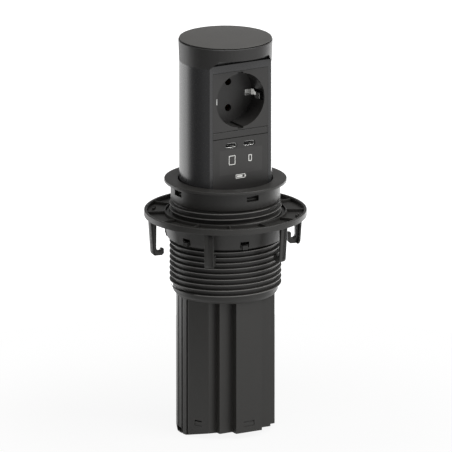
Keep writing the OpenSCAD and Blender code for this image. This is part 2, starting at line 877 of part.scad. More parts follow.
// What the carriage fills in front of the socket face
module carriage_front(margin, y0, z0, z1) {
    translate([0, 0, z0]) linear_extrude(z1 - z0) intersection() {
        bore_outline(margin);
        translate([-tower_r, -tower_r - cut]) square([2 * tower_r, tower_r + cut - y0]);
    }
}

module carriage() {
    wall = 1.9;
    front_y = face_y + seat_fit;
    lead_y = 2;
    color(body_colour) difference() {
        union() {
            translate([0, 0, carriage_z0]) linear_extrude(carriage_h) bore_outline(run_fit);
            carriage_front(run_fit, front_y, carriage_z0, apron_z1);
        }
        difference() {
            translate([0, 0, carriage_z0 + floor_t]) linear_extrude(carriage_h) bore_outline(run_fit + wall);
            for (a = boss_angles)
                at(a) translate([0, -boss_c, 0]) post(boss_r, carriage_z0, shell_z0 + carriage_h);
            slab(-tower_r, tower_r, -tower_r, -front_y, shell_z0 - eps, shell_z0 + carriage_h);
        }
        carriage_front(run_fit + wall, front_y + wall, carriage_z0 + floor_t, apron_z1 - wall);
        translate([0, spring_y, 0]) post(spring_r + run_fit + 0.2, carriage_z0 - cut, shell_z0 + cut);
        for (a = boss_angles)
            at(a) translate([0, -boss_c, 0]) {
                post(screw_hole, carriage_z0 - cut, shell_z0 + cut);
                post(head_r + 0.2, carriage_z0 - cut, carriage_z0 + head_t);
            }
        slab(lead_x + lead_y - lead_slot, lead_x + lead_y, lead_y, lead_y + lead_slot,
            carriage_z0 - cut, carriage_z0 + floor_t + cut);
    }
}

module carriage_screws() {
    color(metal_colour)
        for (a = boss_angles)
            at(a) translate([0, -boss_c, 0]) union() {
                post(screw_r, carriage_z0 + 0.2, shell_z0 + boss_h - 4);
                post(head_r, carriage_z0 + 0.1, carriage_z0 + head_t);
            }
}

module spring_rod() {
    color(metal_colour) translate([0, spring_y, 0]) union() {
        post(rod_r, piston_z1 - piston_t, rod_shoulder_z);
        post(stud_r, rod_shoulder_z - eps, neck_z1 + rod_nut_t + 0.5);
        post(spring_bore - run_fit, piston_z1 - piston_t, piston_z1);
    }
}

module rod_nut() {
    color(metal_colour) translate([0, spring_y, 0]) difference() {
        translate([0, 0, neck_z1]) cylinder(r = rod_nut_r, h = rod_nut_t, $fn = 6);
        post(stud_r + pin_fit, neck_z1 - cut, neck_z1 + rod_nut_t + cut);
    }
}

module latch_striker() {
    foot_z = carriage_z0 - striker_foot_t;
    window_half = striker_half - 1;
    color(metal_colour) difference() {
        union() {
            slab(-striker_half, striker_half, striker_y0, striker_y1, carriage_z0 - striker_len, carriage_z0);
            slab(-striker_foot_half, striker_foot_half, striker_y0 - 2, striker_y1 + 3, foot_z, carriage_z0);
        }
        slab(-window_half, window_half, striker_y0 - cut, striker_y1 + cut,
            catch_window_z1 - catch_window_h, catch_window_z1);
        for (s = [-1, 1])
            translate([s * striker_screw_x, striker_y1 - 0.6, 0])
                post(screw_r + pin_fit, foot_z - cut, carriage_z0 + cut);
    }
}

module striker_screws() {
    foot_z = carriage_z0 - striker_foot_t;
    button_r = 2.2;
    button_t = 1.3;
    color(metal_colour)
        for (s = [-1, 1])
            translate([s * striker_screw_x, striker_y1 - 0.6, 0]) union() {
                post(screw_r, foot_z - eps, carriage_z0);
                post(button_r, foot_z - button_t, foot_z);
            }
}

module socket_insert() {
    half_w = module_w / 2 - module_gap;
    pocket_y = -face_y + plate_t - 0.2;
    color(face_colour) difference() {
        union() {
            slab(-half_w, half_w, -face_y, cup_y0 + eps, socket_z0 + module_gap, socket_z1 - module_gap);
            along_y(cup_r, cup_y0, cup_y1, 0, socket_z);
        }
        along_y(recess_r, -face_y - cut, recess_y, 0, socket_z);
        for (s = [-1, 1]) {
            along_y(pin_hole_d / 2, recess_y - cut, cup_y1 + cut, 0, socket_z + s * pin_spacing / 2);
            intersection() {
                along_y(notch_r, -face_y - cut, recess_y, 0, socket_z);
                slab(-notch_w / 2, notch_w / 2, -face_y - cut, recess_y, socket_z - cup_r, socket_z + cup_r);
            }
            intersection() {
                along_y(clip_pocket_r, pocket_y, recess_y, 0, socket_z);
                slab(-cup_r, cup_r, pocket_y, recess_y,
                    socket_z - clip_pocket_w / 2, socket_z + clip_pocket_w / 2);
            }
            slab(s * clip_slot_x - 0.6, s * clip_slot_x + 0.6, recess_y - cut, cup_y1 + cut,
                socket_z - clip_w / 2 - seat_fit, socket_z + clip_w / 2 + seat_fit);
        }
    }
}

// One side of the earth contact: along the floor, up the wall and bowed in towards the plug
function clip_path() = [
    [clip_slot_x + clip_t / 2, recess_y - back_gap],
    [recess_r - 0.2, recess_y - back_gap],
    [recess_r + clip_out, recess_y - 1.2],
    [recess_r + clip_out, recess_y - clip_knee],
    [recess_r - clip_in, recess_y - clip_waist],
    [recess_r - clip_in - 0.2, recess_y - clip_bow],
    [recess_r - clip_in + 0.3, recess_y - clip_end],
    [recess_r - clip_in - 0.5, recess_y - clip_end - 0.4],
    [recess_r - clip_in - 1.1, recess_y - clip_bow - 0.2],
    [recess_r - clip_in - 0.9, recess_y - clip_waist + 0.4],
    [recess_r - clip_out + 0.3, recess_y - clip_knee + 0.4],
    [recess_r - clip_out, recess_y - 1],
    [clip_slot_x + clip_t / 2, recess_y - 1]
];

module earth_contact() {
    strap_y = cup_y1 + back_gap;
    tab_half = 3;
    tab_len = 8;
    color(metal_colour) union() {
        for (s = [-1, 1]) {
            translate([0, 0, socket_z - clip_w / 2]) linear_extrude(clip_w) mirror([s < 0 ? 1 : 0, 0])
                polygon(clip_path());
            slab(min(s * (clip_slot_x - clip_t / 2), s * (clip_slot_x + clip_t / 2 + 0.05)),
                max(s * (clip_slot_x - clip_t / 2), s * (clip_slot_x + clip_t / 2 + 0.05)),
                recess_y - 1, strap_y + clip_t, socket_z - clip_w / 2, socket_z + clip_w / 2);
        }
        slab(-clip_slot_x - clip_t / 2, clip_slot_x + clip_t / 2, strap_y, strap_y + clip_t,
            socket_z - clip_w / 2, socket_z + clip_w / 2);
        slab(-tab_half, tab_half, strap_y, strap_y + tab_len, socket_z - clip_w / 2, socket_z + clip_w / 2);
    }
}

// A brass sleeve for one plug pin, with its terminal beside it
module line_contact(s) {
    z = socket_z + s * pin_spacing / 2;
    color(brass_colour) difference() {
        union() {
            along_y(contact_r, cup_y1, cup_y1 + contact_len, 0, z);
            slab(0, terminal_x + 3, cup_y1, cup_y1 + terminal_len, z - 3, z + 3);
        }
        along_y(contact_bore, cup_y1 - cut, cup_y1 + contact_len + cut, 0, z);
        translate([terminal_x, cup_y1 + terminal_len / 2, 0]) post(screw_r + pin_fit, z - 4, z + 4);
    }
}

module live_contact() {
    line_contact(1);
}

module neutral_contact() {
    line_contact(-1);
}

module terminal_screws() {
    tail = 2;
    seat = 3;
    top = 4.4;
    button_r = 2.3;
    color(metal_colour)
        for (s = [-1, 1])
            translate([terminal_x, cup_y1 + terminal_len / 2, socket_z + s * pin_spacing / 2])
                mirror([0, 0, s < 0 ? 1 : 0]) union() {
                    post(screw_r, -tail, seat);
                    post(button_r, seat, top);
                }
}

module socket_cover() {
    r = cup_r - run_fit;
    color(body_colour) difference() {
        along_y(r, cup_y1, cover_y1, 0, socket_z);
        along_y(r - cover_wall, cup_y1 - cut, cover_y1 - cover_wall, 0, socket_z);
        along_y(lead_r, cover_y1 - cover_wall - cut, cover_y1 + cut, lead_x, socket_z);
    }
}

module spacer_strip() {
    half_w = module_w / 2 - module_gap;
    color(face_colour)
        slab(-half_w, half_w, -face_y, -face_y + plate_t, charger_z1 + module_gap, socket_z0 - module_gap);
}

// A flat slot with round ends, lying across the face
module port_slot(w, h, y0, y1) {
    for (s = [-1, 1])
        translate([s * port_pitch / 2, y0, port_z]) rotate([-90, 0, 0]) linear_extrude(y1 - y0) union() {
            for (e = [-1, 1])
                translate([e * (w - h) / 2, 0]) circle(h / 2, $fn = 32);
            square([w - h, h], center = true);
        }
}

module charger_front() {
    half_w = module_w / 2 - module_gap;
    color(face_colour) difference() {
        union() {
            slab(-half_w, half_w, -face_y, -face_y + plate_t, charger_z0, charger_z1 - module_gap);
            for (s = [-1, 1], z = post_levels)
                along_y(post_r, -face_y + plate_t - eps, board_y0, s * post_x, z);
        }
        port_slot(port_w + 0.4, port_h + 0.4, -face_y - cut, -face_y + plate_t + cut);
        for (s = [-1, 1], z = post_levels)
            along_y(board_screw_r + 0.1, -face_y + plate_t + 0.6, board_y0 + cut, s * post_x, z);
    }
}

module port_shells() {
    port_sink = 0.9;
    lip = 0.4;
    color(metal_colour) difference() {
        port_slot(port_w, port_h, -face_y + port_sink, board_y0);
        port_slot(port_w - 2 * port_wall, port_h - 2 * port_wall, -face_y, board_y0 - lip);
    }
}

module port_tongues() {
    half = 3.3;
    half_t = 0.35;
    front = 1.6;
    back = 0.4;
    color(rubber_colour)
        for (s = [-1, 1])
            slab(s * port_pitch / 2 - half, s * port_pitch / 2 + half, -face_y + front, board_y0 - back,
                port_z - half_t, port_z + half_t);
}

module charger_board() {
    color(board_colour) difference() {
        slab(-board_half, board_half, board_y0, board_y1, board_z0, board_z1);
        for (s = [-1, 1], z = post_levels)
            along_y(board_screw_r + 0.2, board_y0 - cut, board_y1 + cut, s * post_x, z);
    }
}

module charger_parts() {
    coil = 9;
    coil_t = 12;
    can_r = 3.4;
    can_x = board_half - 5;
    chip_half = 8;
    chip_z0 = 11;
    chip_h = 5;
    chip_t = 3;
    color(rubber_colour) union() {
        slab(-coil, coil, board_y1, board_y1 + coil_t, charger_z - coil, charger_z + coil - 2);
        for (s = [-1, 1])
            along_y(can_r, board_y1, board_y1 + coil_t - 1, s * can_x, charger_z - 2);
        slab(-chip_half, chip_half, board_y1, board_y1 + chip_t,
            charger_z + chip_z0, charger_z + chip_z0 + chip_h);
    }
}

module board_screws() {
    color(metal_colour)
        for (s = [-1, 1], z = post_levels) union() {
            along_y(board_screw_r, board_y0 - board_screw_len, board_y1, s * post_x, z);
            along_y(2 * board_screw_r, board_y1, board_y1 + board_head_t, s * post_x, z);
        }
}

module charger_cover() {
    half_w = module_w / 2 - 0.5;
    wall = cover_wall;
    z1 = charger_z1 - run_fit;
    color(body_colour) difference() {
        slab(-half_w, half_w, cup_y0, charger_cover_y1, charger_z0, z1);
        slab(-half_w + wall, half_w - wall, cup_y0 - cut, charger_cover_y1 - wall,
            charger_z0 + wall, z1 - wall);
        along_y(lead_r, charger_cover_y1 - wall - cut, charger_cover_y1 + cut, lead_x, charger_z);
    }
}

trim_ring();
threaded_sleeve();
guide_tube();
base_cap();
clamp_ring();
lock_nut();
spring_cylinder();
rod_guide();
latch_frame();
latch_pin();
latch_lever();
end_buffers();
cap_lid();
cap_skirt();
cap_screws();
tower_shell();
carriage();
carriage_screws();
spring_rod();
rod_nut();
latch_striker();
striker_screws();
socket_insert();
earth_contact();
live_contact();
neutral_contact();
terminal_screws();
socket_cover();
spacer_strip();
charger_front();
port_shells();
port_tongues();
charger_board();
charger_parts();
board_screws();
charger_cover();
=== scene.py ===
import json
import math

import bmesh
import bpy
from bpy.props import FloatProperty, FloatVectorProperty, IntProperty, PointerProperty
from mathutils import Matrix, Vector

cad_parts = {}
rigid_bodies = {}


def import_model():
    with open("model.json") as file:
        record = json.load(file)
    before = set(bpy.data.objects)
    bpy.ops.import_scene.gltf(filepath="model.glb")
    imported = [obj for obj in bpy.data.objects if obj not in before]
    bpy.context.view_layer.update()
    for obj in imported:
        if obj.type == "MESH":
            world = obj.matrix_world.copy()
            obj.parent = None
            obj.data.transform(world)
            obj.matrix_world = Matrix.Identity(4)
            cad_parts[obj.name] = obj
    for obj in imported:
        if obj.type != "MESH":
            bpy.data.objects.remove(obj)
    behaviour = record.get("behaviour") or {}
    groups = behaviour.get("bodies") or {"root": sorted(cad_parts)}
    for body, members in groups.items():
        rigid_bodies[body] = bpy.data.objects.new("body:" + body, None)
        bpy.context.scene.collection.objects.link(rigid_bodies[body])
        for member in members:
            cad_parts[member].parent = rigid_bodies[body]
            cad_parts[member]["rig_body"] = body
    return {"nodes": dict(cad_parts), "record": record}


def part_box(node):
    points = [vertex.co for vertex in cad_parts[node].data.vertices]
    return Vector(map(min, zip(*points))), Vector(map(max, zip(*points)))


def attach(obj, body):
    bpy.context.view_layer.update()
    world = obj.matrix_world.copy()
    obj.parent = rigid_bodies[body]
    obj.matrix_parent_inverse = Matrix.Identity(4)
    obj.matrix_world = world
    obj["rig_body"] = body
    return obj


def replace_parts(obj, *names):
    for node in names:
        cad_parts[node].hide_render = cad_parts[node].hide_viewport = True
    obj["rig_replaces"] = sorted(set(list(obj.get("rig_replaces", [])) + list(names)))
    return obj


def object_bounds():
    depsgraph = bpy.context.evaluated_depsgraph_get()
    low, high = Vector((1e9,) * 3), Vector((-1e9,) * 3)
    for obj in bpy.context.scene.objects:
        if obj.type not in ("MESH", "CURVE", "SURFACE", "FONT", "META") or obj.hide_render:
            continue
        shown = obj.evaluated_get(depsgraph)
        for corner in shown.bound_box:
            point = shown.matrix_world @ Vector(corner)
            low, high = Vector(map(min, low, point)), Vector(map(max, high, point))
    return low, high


bl_info = {
    "name": "Pop up desk socket",
    "version": (1, 0, 0),
    "blender": (4, 5, 0),
    "location": "View3D > Sidebar > Desk socket",
    "description": "Dresses the packed desk socket with moulded plastic, printed icons and studio light",
    "category": "Object",
}

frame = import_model()
CAD_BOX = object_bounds()

MM = 0.001

# Angles past which an edge stays sharp on a turned and on a joined piece, and past which a corner is rounded,
# and the angle under which two triangles count as one flat face
CREASE = math.radians(30)
JOINED_CREASE = math.radians(40)
BEVEL_FROM = math.radians(32)
COPLANAR = math.radians(0.5)

# Radius of the edges of small moulded forms, and how far a form is sunk into the one it stands on
FINE_EDGE = 0.25 * MM
OVERLAP = 0.1 * MM

# Driving sizes, read from the frame where a node's box gives them
TRIM_LOW, TRIM_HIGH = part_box("trim_ring")
SLEEVE_LOW, SLEEVE_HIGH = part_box("threaded_sleeve")
CLAMP_LOW, CLAMP_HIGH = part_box("clamp_ring")
LID_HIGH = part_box("cap_lid")[1]

# Trim ring and sleeve
TRIM_R = TRIM_HIGH.x
TRIM_TOP = TRIM_HIGH.z
CREST_R = SLEEVE_HIGH.x
SLEEVE_R = CREST_R - 2.4 * MM
SLEEVE_BORE = SLEEVE_R - 1.85 * MM
SLEEVE_TOP = SLEEVE_HIGH.z
SLEEVE_FOOT = SLEEVE_LOW.z
BAND_R = SLEEVE_R + 1.55 * MM
BAND_FOOT = -12.6 * MM
OPENING_R = LID_HIGH.x + 0.85 * MM
SKIRT_FOOT = TRIM_LOW.z
SKIRT_R = OPENING_R + 1.65 * MM
WINDOW_COUNT = 4
WINDOW_W = 9.6 * MM
WINDOW_Z = (-6.6 * MM, -2.6 * MM)

# Thread: its foot, start and turns, how fast its ridge grows from the thin ends, their share of its full
# width, and how far from the crest it is painted paler, as a painted highlight along the crest
THREAD_PITCH = 4 * MM
THREAD_FOOT = -75.8 * MM
THREAD_START = math.radians(-120)
THREAD_TURNS = 15.55
THREAD_GROWTH = 90.0
THREAD_END = 0.12
CREST_HIGHLIGHT_REACH = 0.16 * MM

# Clamp tray, with its hub, its lip, and the ribs and bumps on its floor
CLAMP_R = max(CLAMP_HIGH.x, CLAMP_HIGH.y)
CLAMP_TOP = CLAMP_HIGH.z
CLAMP_H = 4.4 * MM
CLAMP_UNDER = CLAMP_TOP - CLAMP_H
CLAMP_FLOOR = CLAMP_UNDER + 1.4 * MM
CLAMP_RIM = 1.9 * MM
HUB_BORE = 41.7 * MM
HUB_R = 43.3 * MM
HUB_TOP = CLAMP_TOP - 0.6 * MM
LIP_BORE = 42.5 * MM
LIP_SEAT = CLAMP_TOP - 3 * MM
RIB_COUNT = 12
RIB_START = math.radians(-26)
BUMP_COUNT = 6
BUMP_START = math.radians(-11)

# Hooks, of each kind: angle of the first, thickness of the foot and height of the tip over it
HOOK_COUNT = 3
HOOK_FOOT = CLAMP_LOW.z
TALL_HOOKS = (math.radians(-41), 3.6 * MM, 4.5 * MM)
LOW_HOOKS = (math.radians(19), 3.2 * MM, 1.5 * MM)

# Printed marks on the charger's face: x and z of the middle, width and height
FACE_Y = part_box("charger_front")[0].y
INK_FRONT = FACE_Y - 0.05 * MM
INK_BACK = FACE_Y + 0.01 * MM
INK_CORNER = 0.12 * MM
INK_MERGE = 0.0001 * MM
TABLET = (-6.8 * MM, 20.3 * MM, 5.3 * MM, 6.8 * MM)
PHONE = (7.9 * MM, 20.3 * MM, 2.7 * MM, 4.8 * MM)
BATTERY = (0, 7.9 * MM, 7.6 * MM, 3 * MM)

# The field behind them, painted paler as a painted sheen: x and z of the middle, half the width and half the height
SHEEN_FIELD = (0.3 * MM, 19 * MM, 17.3 * MM, 9 * MM)

STRIP_SEAM = 0.2 * MM

# Floor: its reach, its gap under the object, and how far out its shadow starts to fade and is gone
FLOOR_REACH = 0.3
FLOOR_GAP = 0.2 * MM
SHADE_FADES = 0.1
SHADE_GONE = 0.9 * FLOOR_REACH

# Where the photograph was taken from, the width of its frame, and the point it looks at
SENSOR = 36
VIEW_AZIMUTH = math.radians(-30)
VIEW_ELEVATION = math.radians(15.2)
VIEW_DISTANCE = 12
VIEW_WIDTH = 0.3199
VIEW_SIDE = 0.39 * MM
VIEW_Z = -33.7 * MM

# Brightness of the room's low band by azimuth, in degrees anticlockwise from the front, seen from above
LOW_BAND = (
    (-180, 1.4), (-167, 2.0), (-142, 2.5), (-132, 0.9), (-124, 0.15), (-110, 0.05), (-96, 0.1), (-82, 0.32),
    (-58, 0.4), (-30, 0.65), (0, 1.0), (30, 1.1), (75, 0.7), (95, 1.7), (112, 3.0), (134, 3.0), (150, 1.3),
    (168, 1.2), (180, 1.4),
)
LOW_BAND_TOP = 3


def srgb(hex_value):
    """The red, green and blue of a hex colour, from 0 to 1, as a colour property holds them."""
    return [int(hex_value[i:i + 2], 16) / 255 for i in (1, 3, 5)]


class SocketSizes(bpy.types.PropertyGroup):
    """Sizes of the finish that a user may change"""

    edge: FloatProperty(
        name="Edge radius", description="Radius of a moulded outer edge", default=0.35 * MM, unit="LENGTH"
    )
    metal_edge: FloatProperty(
        name="Metal edge radius", description="Radius of a pressed metal edge", default=0.12 * MM, unit="LENGTH"
    )
    grain: FloatProperty(
        name="Grain", description="Width of one grain of the moulded surface", default=0.5 * MM, unit="LENGTH"
    )
    stroke: FloatProperty(
        name="Icon stroke", description="Width of the printed icon lines", default=0.5 * MM, unit="LENGTH"
    )
    thread_steps: IntProperty(name="Thread steps", description="Segments in one turn of the thread", default=96)
    lathe_steps: IntProperty(name="Lathe steps", description="Segments round a turned piece", default=192)


def colour_property(name, description, hex_value):
    """A colour that a user may change, with its hex value as the default."""
    return FloatVectorProperty(
        name=name, description=description, subtype="COLOR_GAMMA", size=3, min=0, max=1, default=srgb(hex_value)
    )


class SocketColours(bpy.types.PropertyGroup):
    """Colours that a user may change, as the eye sees them"""

    housing: colour_property("Housing", "Black ABS of the ring, sleeve and tube", "#292826")
    tower: colour_property("Tower", "Anthracite ABS of the tower shell", "#313132")
    cap: colour_property("Cap", "Anthracite ABS of the cap's skirt", "#252423")
    lid: colour_property("Lid", "Soft grey paint of the lid", "#4b4a48")
    face: colour_property("Face", "Anthracite ABS of the modules", "#2c2b2a")
    ink: colour_property("Ink", "Pad printed icons", "#edede9")


def linear(rgb):
    """Turns an sRGB colour, or its hex number, into the linear values that Blender's sockets hold."""
    if isinstance(rgb, str):
        rgb = srgb(rgb)
    return [c / 12.92 if c <= 0.04045 else ((c + 0.055) / 1.055) ** 2.4 for c in rgb] + [1]


def add_node(tree, kind, inputs=None, **settings):
    """Adds one node, sets its properties, and fills or links its inputs."""
    made = tree.nodes.new(kind)
    for key, value in settings.items():
        setattr(made, key, value)
    for key, value in (inputs or {}).items():
        if isinstance(value, bpy.types.NodeSocket):
            tree.links.new(value, made.inputs[key])
        else:
            made.inputs[key].default_value = value
    return made


def new_material(name):
    """An empty material and its tree."""
    material = bpy.data.materials.new(name)
    material.use_nodes = True
    material.node_tree.nodes.clear()
    return material, material.node_tree


def moulded_plastic(name, colour, roughness, grain, streak=1.0, depth=0.02 * MM):
    """ABS from a spark-eroded mould: a fine matt grain, and a colour that wanders a little with the flow."""
    # The real grain is near 0.1 mm, and is drawn a few times as coarse so that it shows
    flow_length = 22 * MM
    material, tree = new_material(name)
    place = add_node(tree, "ShaderNodeTexCoord").outputs["Object"]
    stretched = add_node(tree, "ShaderNodeMapping", {"Vector": place, "Scale": (1, 1, streak)}).outputs["Vector"]
    flow = add_node(tree, "ShaderNodeTexNoise", {"Vector": stretched, "Scale": 1 / flow_length, "Detail": 3.0})
    fine = add_node(tree, "ShaderNodeTexNoise", {"Vector": place, "Scale": 1 / grain, "Detail": 2.0})
    rgb = linear(colour)
    dark, light = ([share * c for c in rgb[:3]] + [1] for share in (0.9, 1.1))
    shades = add_node(tree, "ShaderNodeMix", {0: flow.outputs["Fac"], 6: dark, 7: light}, data_type="RGBA")
    rough = add_node(tree, "ShaderNodeMapRange", {
        "Value": fine.outputs["Fac"], "From Min": 0.3, "From Max": 0.7,
        "To Min": roughness - 0.05, "To Max": roughness + 0.05,
    })
    bump = add_node(tree, "ShaderNodeBump", {
        "Height": fine.outputs["Fac"], "Strength": 0.35, "Distance": depth,
    })
    shader = add_node(tree, "ShaderNodeBsdfPrincipled", {
        "Base Color": shades.outputs[2], "Roughness": rough.outputs["Result"], "Normal": bump.outputs["Normal"],
        "IOR": 1.53,
    })
    add_node(tree, "ShaderNodeOutputMaterial", {"Surface": shader.outputs["BSDF"]})
    return material


def worked_metal(name, colour, roughness, line, along):
    """Plated or drawn metal: long fine lines in the roughness and a faint unevenness in the colour."""
    # Real drawing lines are finer than 0.05 mm, and are drawn coarser so that they show
    material, tree = new_material(name)
    place = add_node(tree, "ShaderNodeTexCoord").outputs["Object"]
    drawn = add_node(tree, "ShaderNodeMapping", {"Vector": place, "Scale": along}).outputs["Vector"]
    lines = add_node(tree, "ShaderNodeTexNoise", {"Vector": drawn, "Scale": 1 / line, "Detail": 3.0})
    rough = add_node(tree, "ShaderNodeMapRange", {
        "Value": lines.outputs["Fac"], "From Min": 0.3, "From Max": 0.7,
        "To Min": roughness * 0.75, "To Max": roughness * 1.3,
    })
    ramp = add_node(tree, "ShaderNodeValToRGB", {"Fac": lines.outputs["Fac"]})
    rgb = linear(colour)
    ramp.color_ramp.elements[0].color = [0.9 * c for c in rgb[:3]] + [1]
    ramp.color_ramp.elements[1].color = rgb
    bump = add_node(tree, "ShaderNodeBump", {
        "Height": lines.outputs["Fac"], "Strength": 0.2, "Distance": 0.01 * MM,
    })
    shader = add_node(tree, "ShaderNodeBsdfPrincipled", {
        "Base Color": ramp.outputs["Color"], "Roughness": rough.outputs["Result"],
        "Normal": bump.outputs["Normal"], "Metallic": 1.0,
    })
    add_node(tree, "ShaderNodeOutputMaterial", {"Surface": shader.outputs["BSDF"]})
    return material


def paler_where(material, share, colour):
    """Mixes a paler colour into a moulded plastic, as far as a share between 0 and 1 says."""
    tree = material.node_tree
    shader = next(n for n in tree.nodes if n.type == "BSDF_PRINCIPLED")
    plain = shader.inputs["Base Color"].links[0].from_socket
    mixed = add_node(tree, "ShaderNodeMix", {0: share, 6: plain, 7: linear(colour)}, data_type="RGBA")
    tree.links.new(mixed.outputs[2], shader.inputs["Base Color"])
    return material


def user_settings():
    """The colours and the sizes that a user may change."""
    return bpy.context.scene.socket_colours, bpy.context.scene.socket_sizes


def housing_abs():
    # Black ABS, spark-eroded: dull, but for the thread's crest, which is painted paler as a painted highlight
    colours, sizes = user_settings()
    material = moulded_plastic("black_abs_spark_eroded", colours.housing, roughness=0.44, grain=sizes.grain)
    tree = material.node_tree
    place = add_node(tree, "ShaderNodeTexCoord").outputs["Object"]
    part = add_node(tree, "ShaderNodeSeparateXYZ", {"Vector": place}).outputs
    away = add_node(tree, "ShaderNodeVectorMath", {0: place, 1: (1, 1, 0)}, operation="MULTIPLY")
    away = add_node(tree, "ShaderNodeVectorMath", {0: away.outputs["Vector"]}, operation="LENGTH")
    # Painted highlight: a band at the thread's crest radius, below the neck band, is painted paler
    crest = add_node(tree, "ShaderNodeMath", {0: away.outputs["Value"], 1: CREST_R, 2: CREST_HIGHLIGHT_REACH},
                     operation="COMPARE").outputs[0]
    below = add_node(tree, "ShaderNodeMath", {0: part["Z"], 1: BAND_FOOT}, operation="LESS_THAN").outputs[0]
    share = add_node(tree, "ShaderNodeMath", {0: crest, 1: below}, operation="MULTIPLY").outputs[0]
    return paler_where(material, share, "#6c6b69")


def tower_abs():
    # Anthracite ABS, satin: the long shell shows faint upright flow lines
    colours, sizes = user_settings()
    return moulded_plastic("anthracite_abs_satin", colours.tower, roughness=0.24, grain=sizes.grain, streak=0.15,
                           depth=0.005 * MM)


def cap_abs():
    # Anthracite ABS of the cap's skirt, spark-eroded: duller and darker than the satin shell under it
    colours, sizes = user_settings()
    return moulded_plastic("anthracite_abs_cap", colours.cap, roughness=0.48, grain=sizes.grain)


def lid_paint():
    # Soft-feel grey paint on the lid: the most matt surface of the object
    colours, sizes = user_settings()
    return moulded_plastic("grey_soft_feel_paint", colours.lid, roughness=0.55, grain=0.6 * sizes.grain)


def face_abs():
    # Anthracite ABS of the 45 mm modules, satin and close grained, with a field behind the icons painted paler as a
    # painted sheen
    colours, sizes = user_settings()
    material = moulded_plastic("anthracite_abs_modules", colours.face, roughness=0.42, grain=0.8 * sizes.grain)
    tree = material.node_tree
    place = add_node(tree, "ShaderNodeTexCoord").outputs["Object"]
    part = add_node(tree, "ShaderNodeSeparateXYZ", {"Vector": place}).outputs
    # Painted sheen: the box of the field behind the icons is painted paler
    x, z, half_w, half_h = SHEEN_FIELD
    across = add_node(tree, "ShaderNodeMath", {0: part["X"], 1: x, 2: half_w}, operation="COMPARE").outputs[0]
    upright = add_node(tree, "ShaderNodeMath", {0: part["Z"], 1: z, 2: half_h}, operation="COMPARE").outputs[0]
    inside = add_node(tree, "ShaderNodeMath", {0: across, 1: upright}, operation="MULTIPLY").outputs[0]
    return paler_where(material, inside, "#343332")


def printed_ink():
    # White pad printing ink: flat, with a slightly uneven cover
    colours, _ = user_settings()
    return moulded_plastic("white_pad_printing_ink", colours.ink, roughness=0.6, grain=0.3 * MM)


def nickel_plate():
    # Nickel plate on pressed brass: bright, with faint lines along the strip
    return worked_metal("nickel_plated_brass", "#f2f2f0", roughness=0.2, line=0.4 * MM, along=(1, 1, 0.1))


def zinc_steel():
    # Zinc plated steel of the screws, latch and gas spring: grey and softly bright
    return worked_metal("zinc_plated_steel", "#b4b5b6", roughness=0.32, line=0.5 * MM, along=(1, 1, 0.15))


def drawn_brass():
    # Drawn brass of the mains contacts: warm, with fine drawing lines
    return worked_metal("drawn_brass", "#c9a25a", roughness=0.3, line=0.4 * MM, along=(1, 0.1, 1))


def buffer_rubber():
    # Moulded rubber and black epoxy: very dull
    return moulded_plastic("black_moulded_rubber", "#1b1b1b", roughness=0.75, grain=0.4 * MM)


def board_laminate():
    # Glass fibre laminate under green solder mask
    return moulded_plastic("green_solder_mask_laminate", "#1d4a31", roughness=0.35, grain=0.6 * MM)


MATERIALS = {}
SLOT_MAKERS = {
    "housing_plastic": housing_abs, "tower_plastic": tower_abs, "cap_plastic": cap_abs, "lid_plastic": lid_paint,
    "face_plastic": face_abs, "print": printed_ink, "contact_metal": nickel_plate, "steel": zinc_steel,
    "brass": drawn_brass, "rubber": buffer_rubber, "board": board_laminate,
}


def finish_of(slot):
    """The material of one of the record's slots, made when it is first asked for."""
    if slot not in MATERIALS:
        MATERIALS[slot] = SLOT_MAKERS[slot]()
    return MATERIALS[slot]


def slot_of(node):
    """The slot that the record gives a CAD node."""
    return next(s["material_slot"] for s in frame["record"]["subparts"] if s["node"] == node)


def coat_node(node):
    """Gives a CAD node that keeps its own mesh the material of its slot."""
    piece = frame["nodes"][node]
    piece.data.materials.clear()
    piece.data.materials.append(finish_of(slot_of(node)))
    shade_smooth(piece.data)


def shade_smooth(mesh, crease=CREASE):
    """Shades a mesh round, but for edges sharper than the crease."""
    for polygon in mesh.polygons:
        polygon.use_smooth = True
    mesh.set_sharp_from_angle(angle=crease)


def polar(radius, angle, z):
    """A point at an angle from the front, anticlockwise seen from above."""
    return Vector((radius * math.sin(angle), -radius * math.cos(angle), z))


def wrapped(angle):
    """An angle brought between minus and plus half a turn."""
    return (angle + math.pi) % (2 * math.pi) - math.pi


def arc(centre, radius, start, end, steps):
    """Points of an arc in a profile, angles in degrees."""
    turn = [math.radians(start + (end - start) * i / steps) for i in range(steps + 1)]
    return [(centre[0] + radius * math.cos(t), centre[1] + radius * math.sin(t)) for t in turn]


def new_piece(name, mesh, body, slot):
    """Links a finished mesh as a piece that rides on a body with a slot's material."""
    piece = bpy.data.objects.new(name, mesh)
    bpy.context.scene.collection.objects.link(piece)
    mesh.materials.clear()
    mesh.materials.append(finish_of(slot))
    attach(piece, body)
    return piece


def lathe(profile):
    """Turns a closed profile of radius and height once round the axis."""
    steps = bpy.context.scene.socket_sizes.lathe_steps
    bm = bmesh.new()
    rings = [[bm.verts.new(polar(r, 2 * math.pi * i / steps, z)) for r, z in profile] for i in range(steps)]
    count = len(profile)
    for i in range(steps):
        here, there = rings[i], rings[(i + 1) % steps]
        for k in range(count):
            n = (k + 1) % count
            bm.faces.new((here[k], there[k], there[n], here[n]))
    return finished(bm)


def finished(bm, merge=0.001 * MM):
    """Closes a bmesh into a mesh with its doubles merged and its faces pointing outwards."""
    bmesh.ops.remove_doubles(bm, verts=bm.verts, dist=merge)
    bmesh.ops.recalc_face_normals(bm, faces=bm.faces)
    mesh = bpy.data.meshes.new("made")
    bm.to_mesh(mesh)
    bm.free()
    shade_smooth(mesh)
    return mesh


def held(mesh):
    """A passing object that holds a mesh while modifiers work on it."""
    holder = bpy.data.objects.new("holder", mesh)
    bpy.context.scene.collection.objects.link(holder)
    return holder


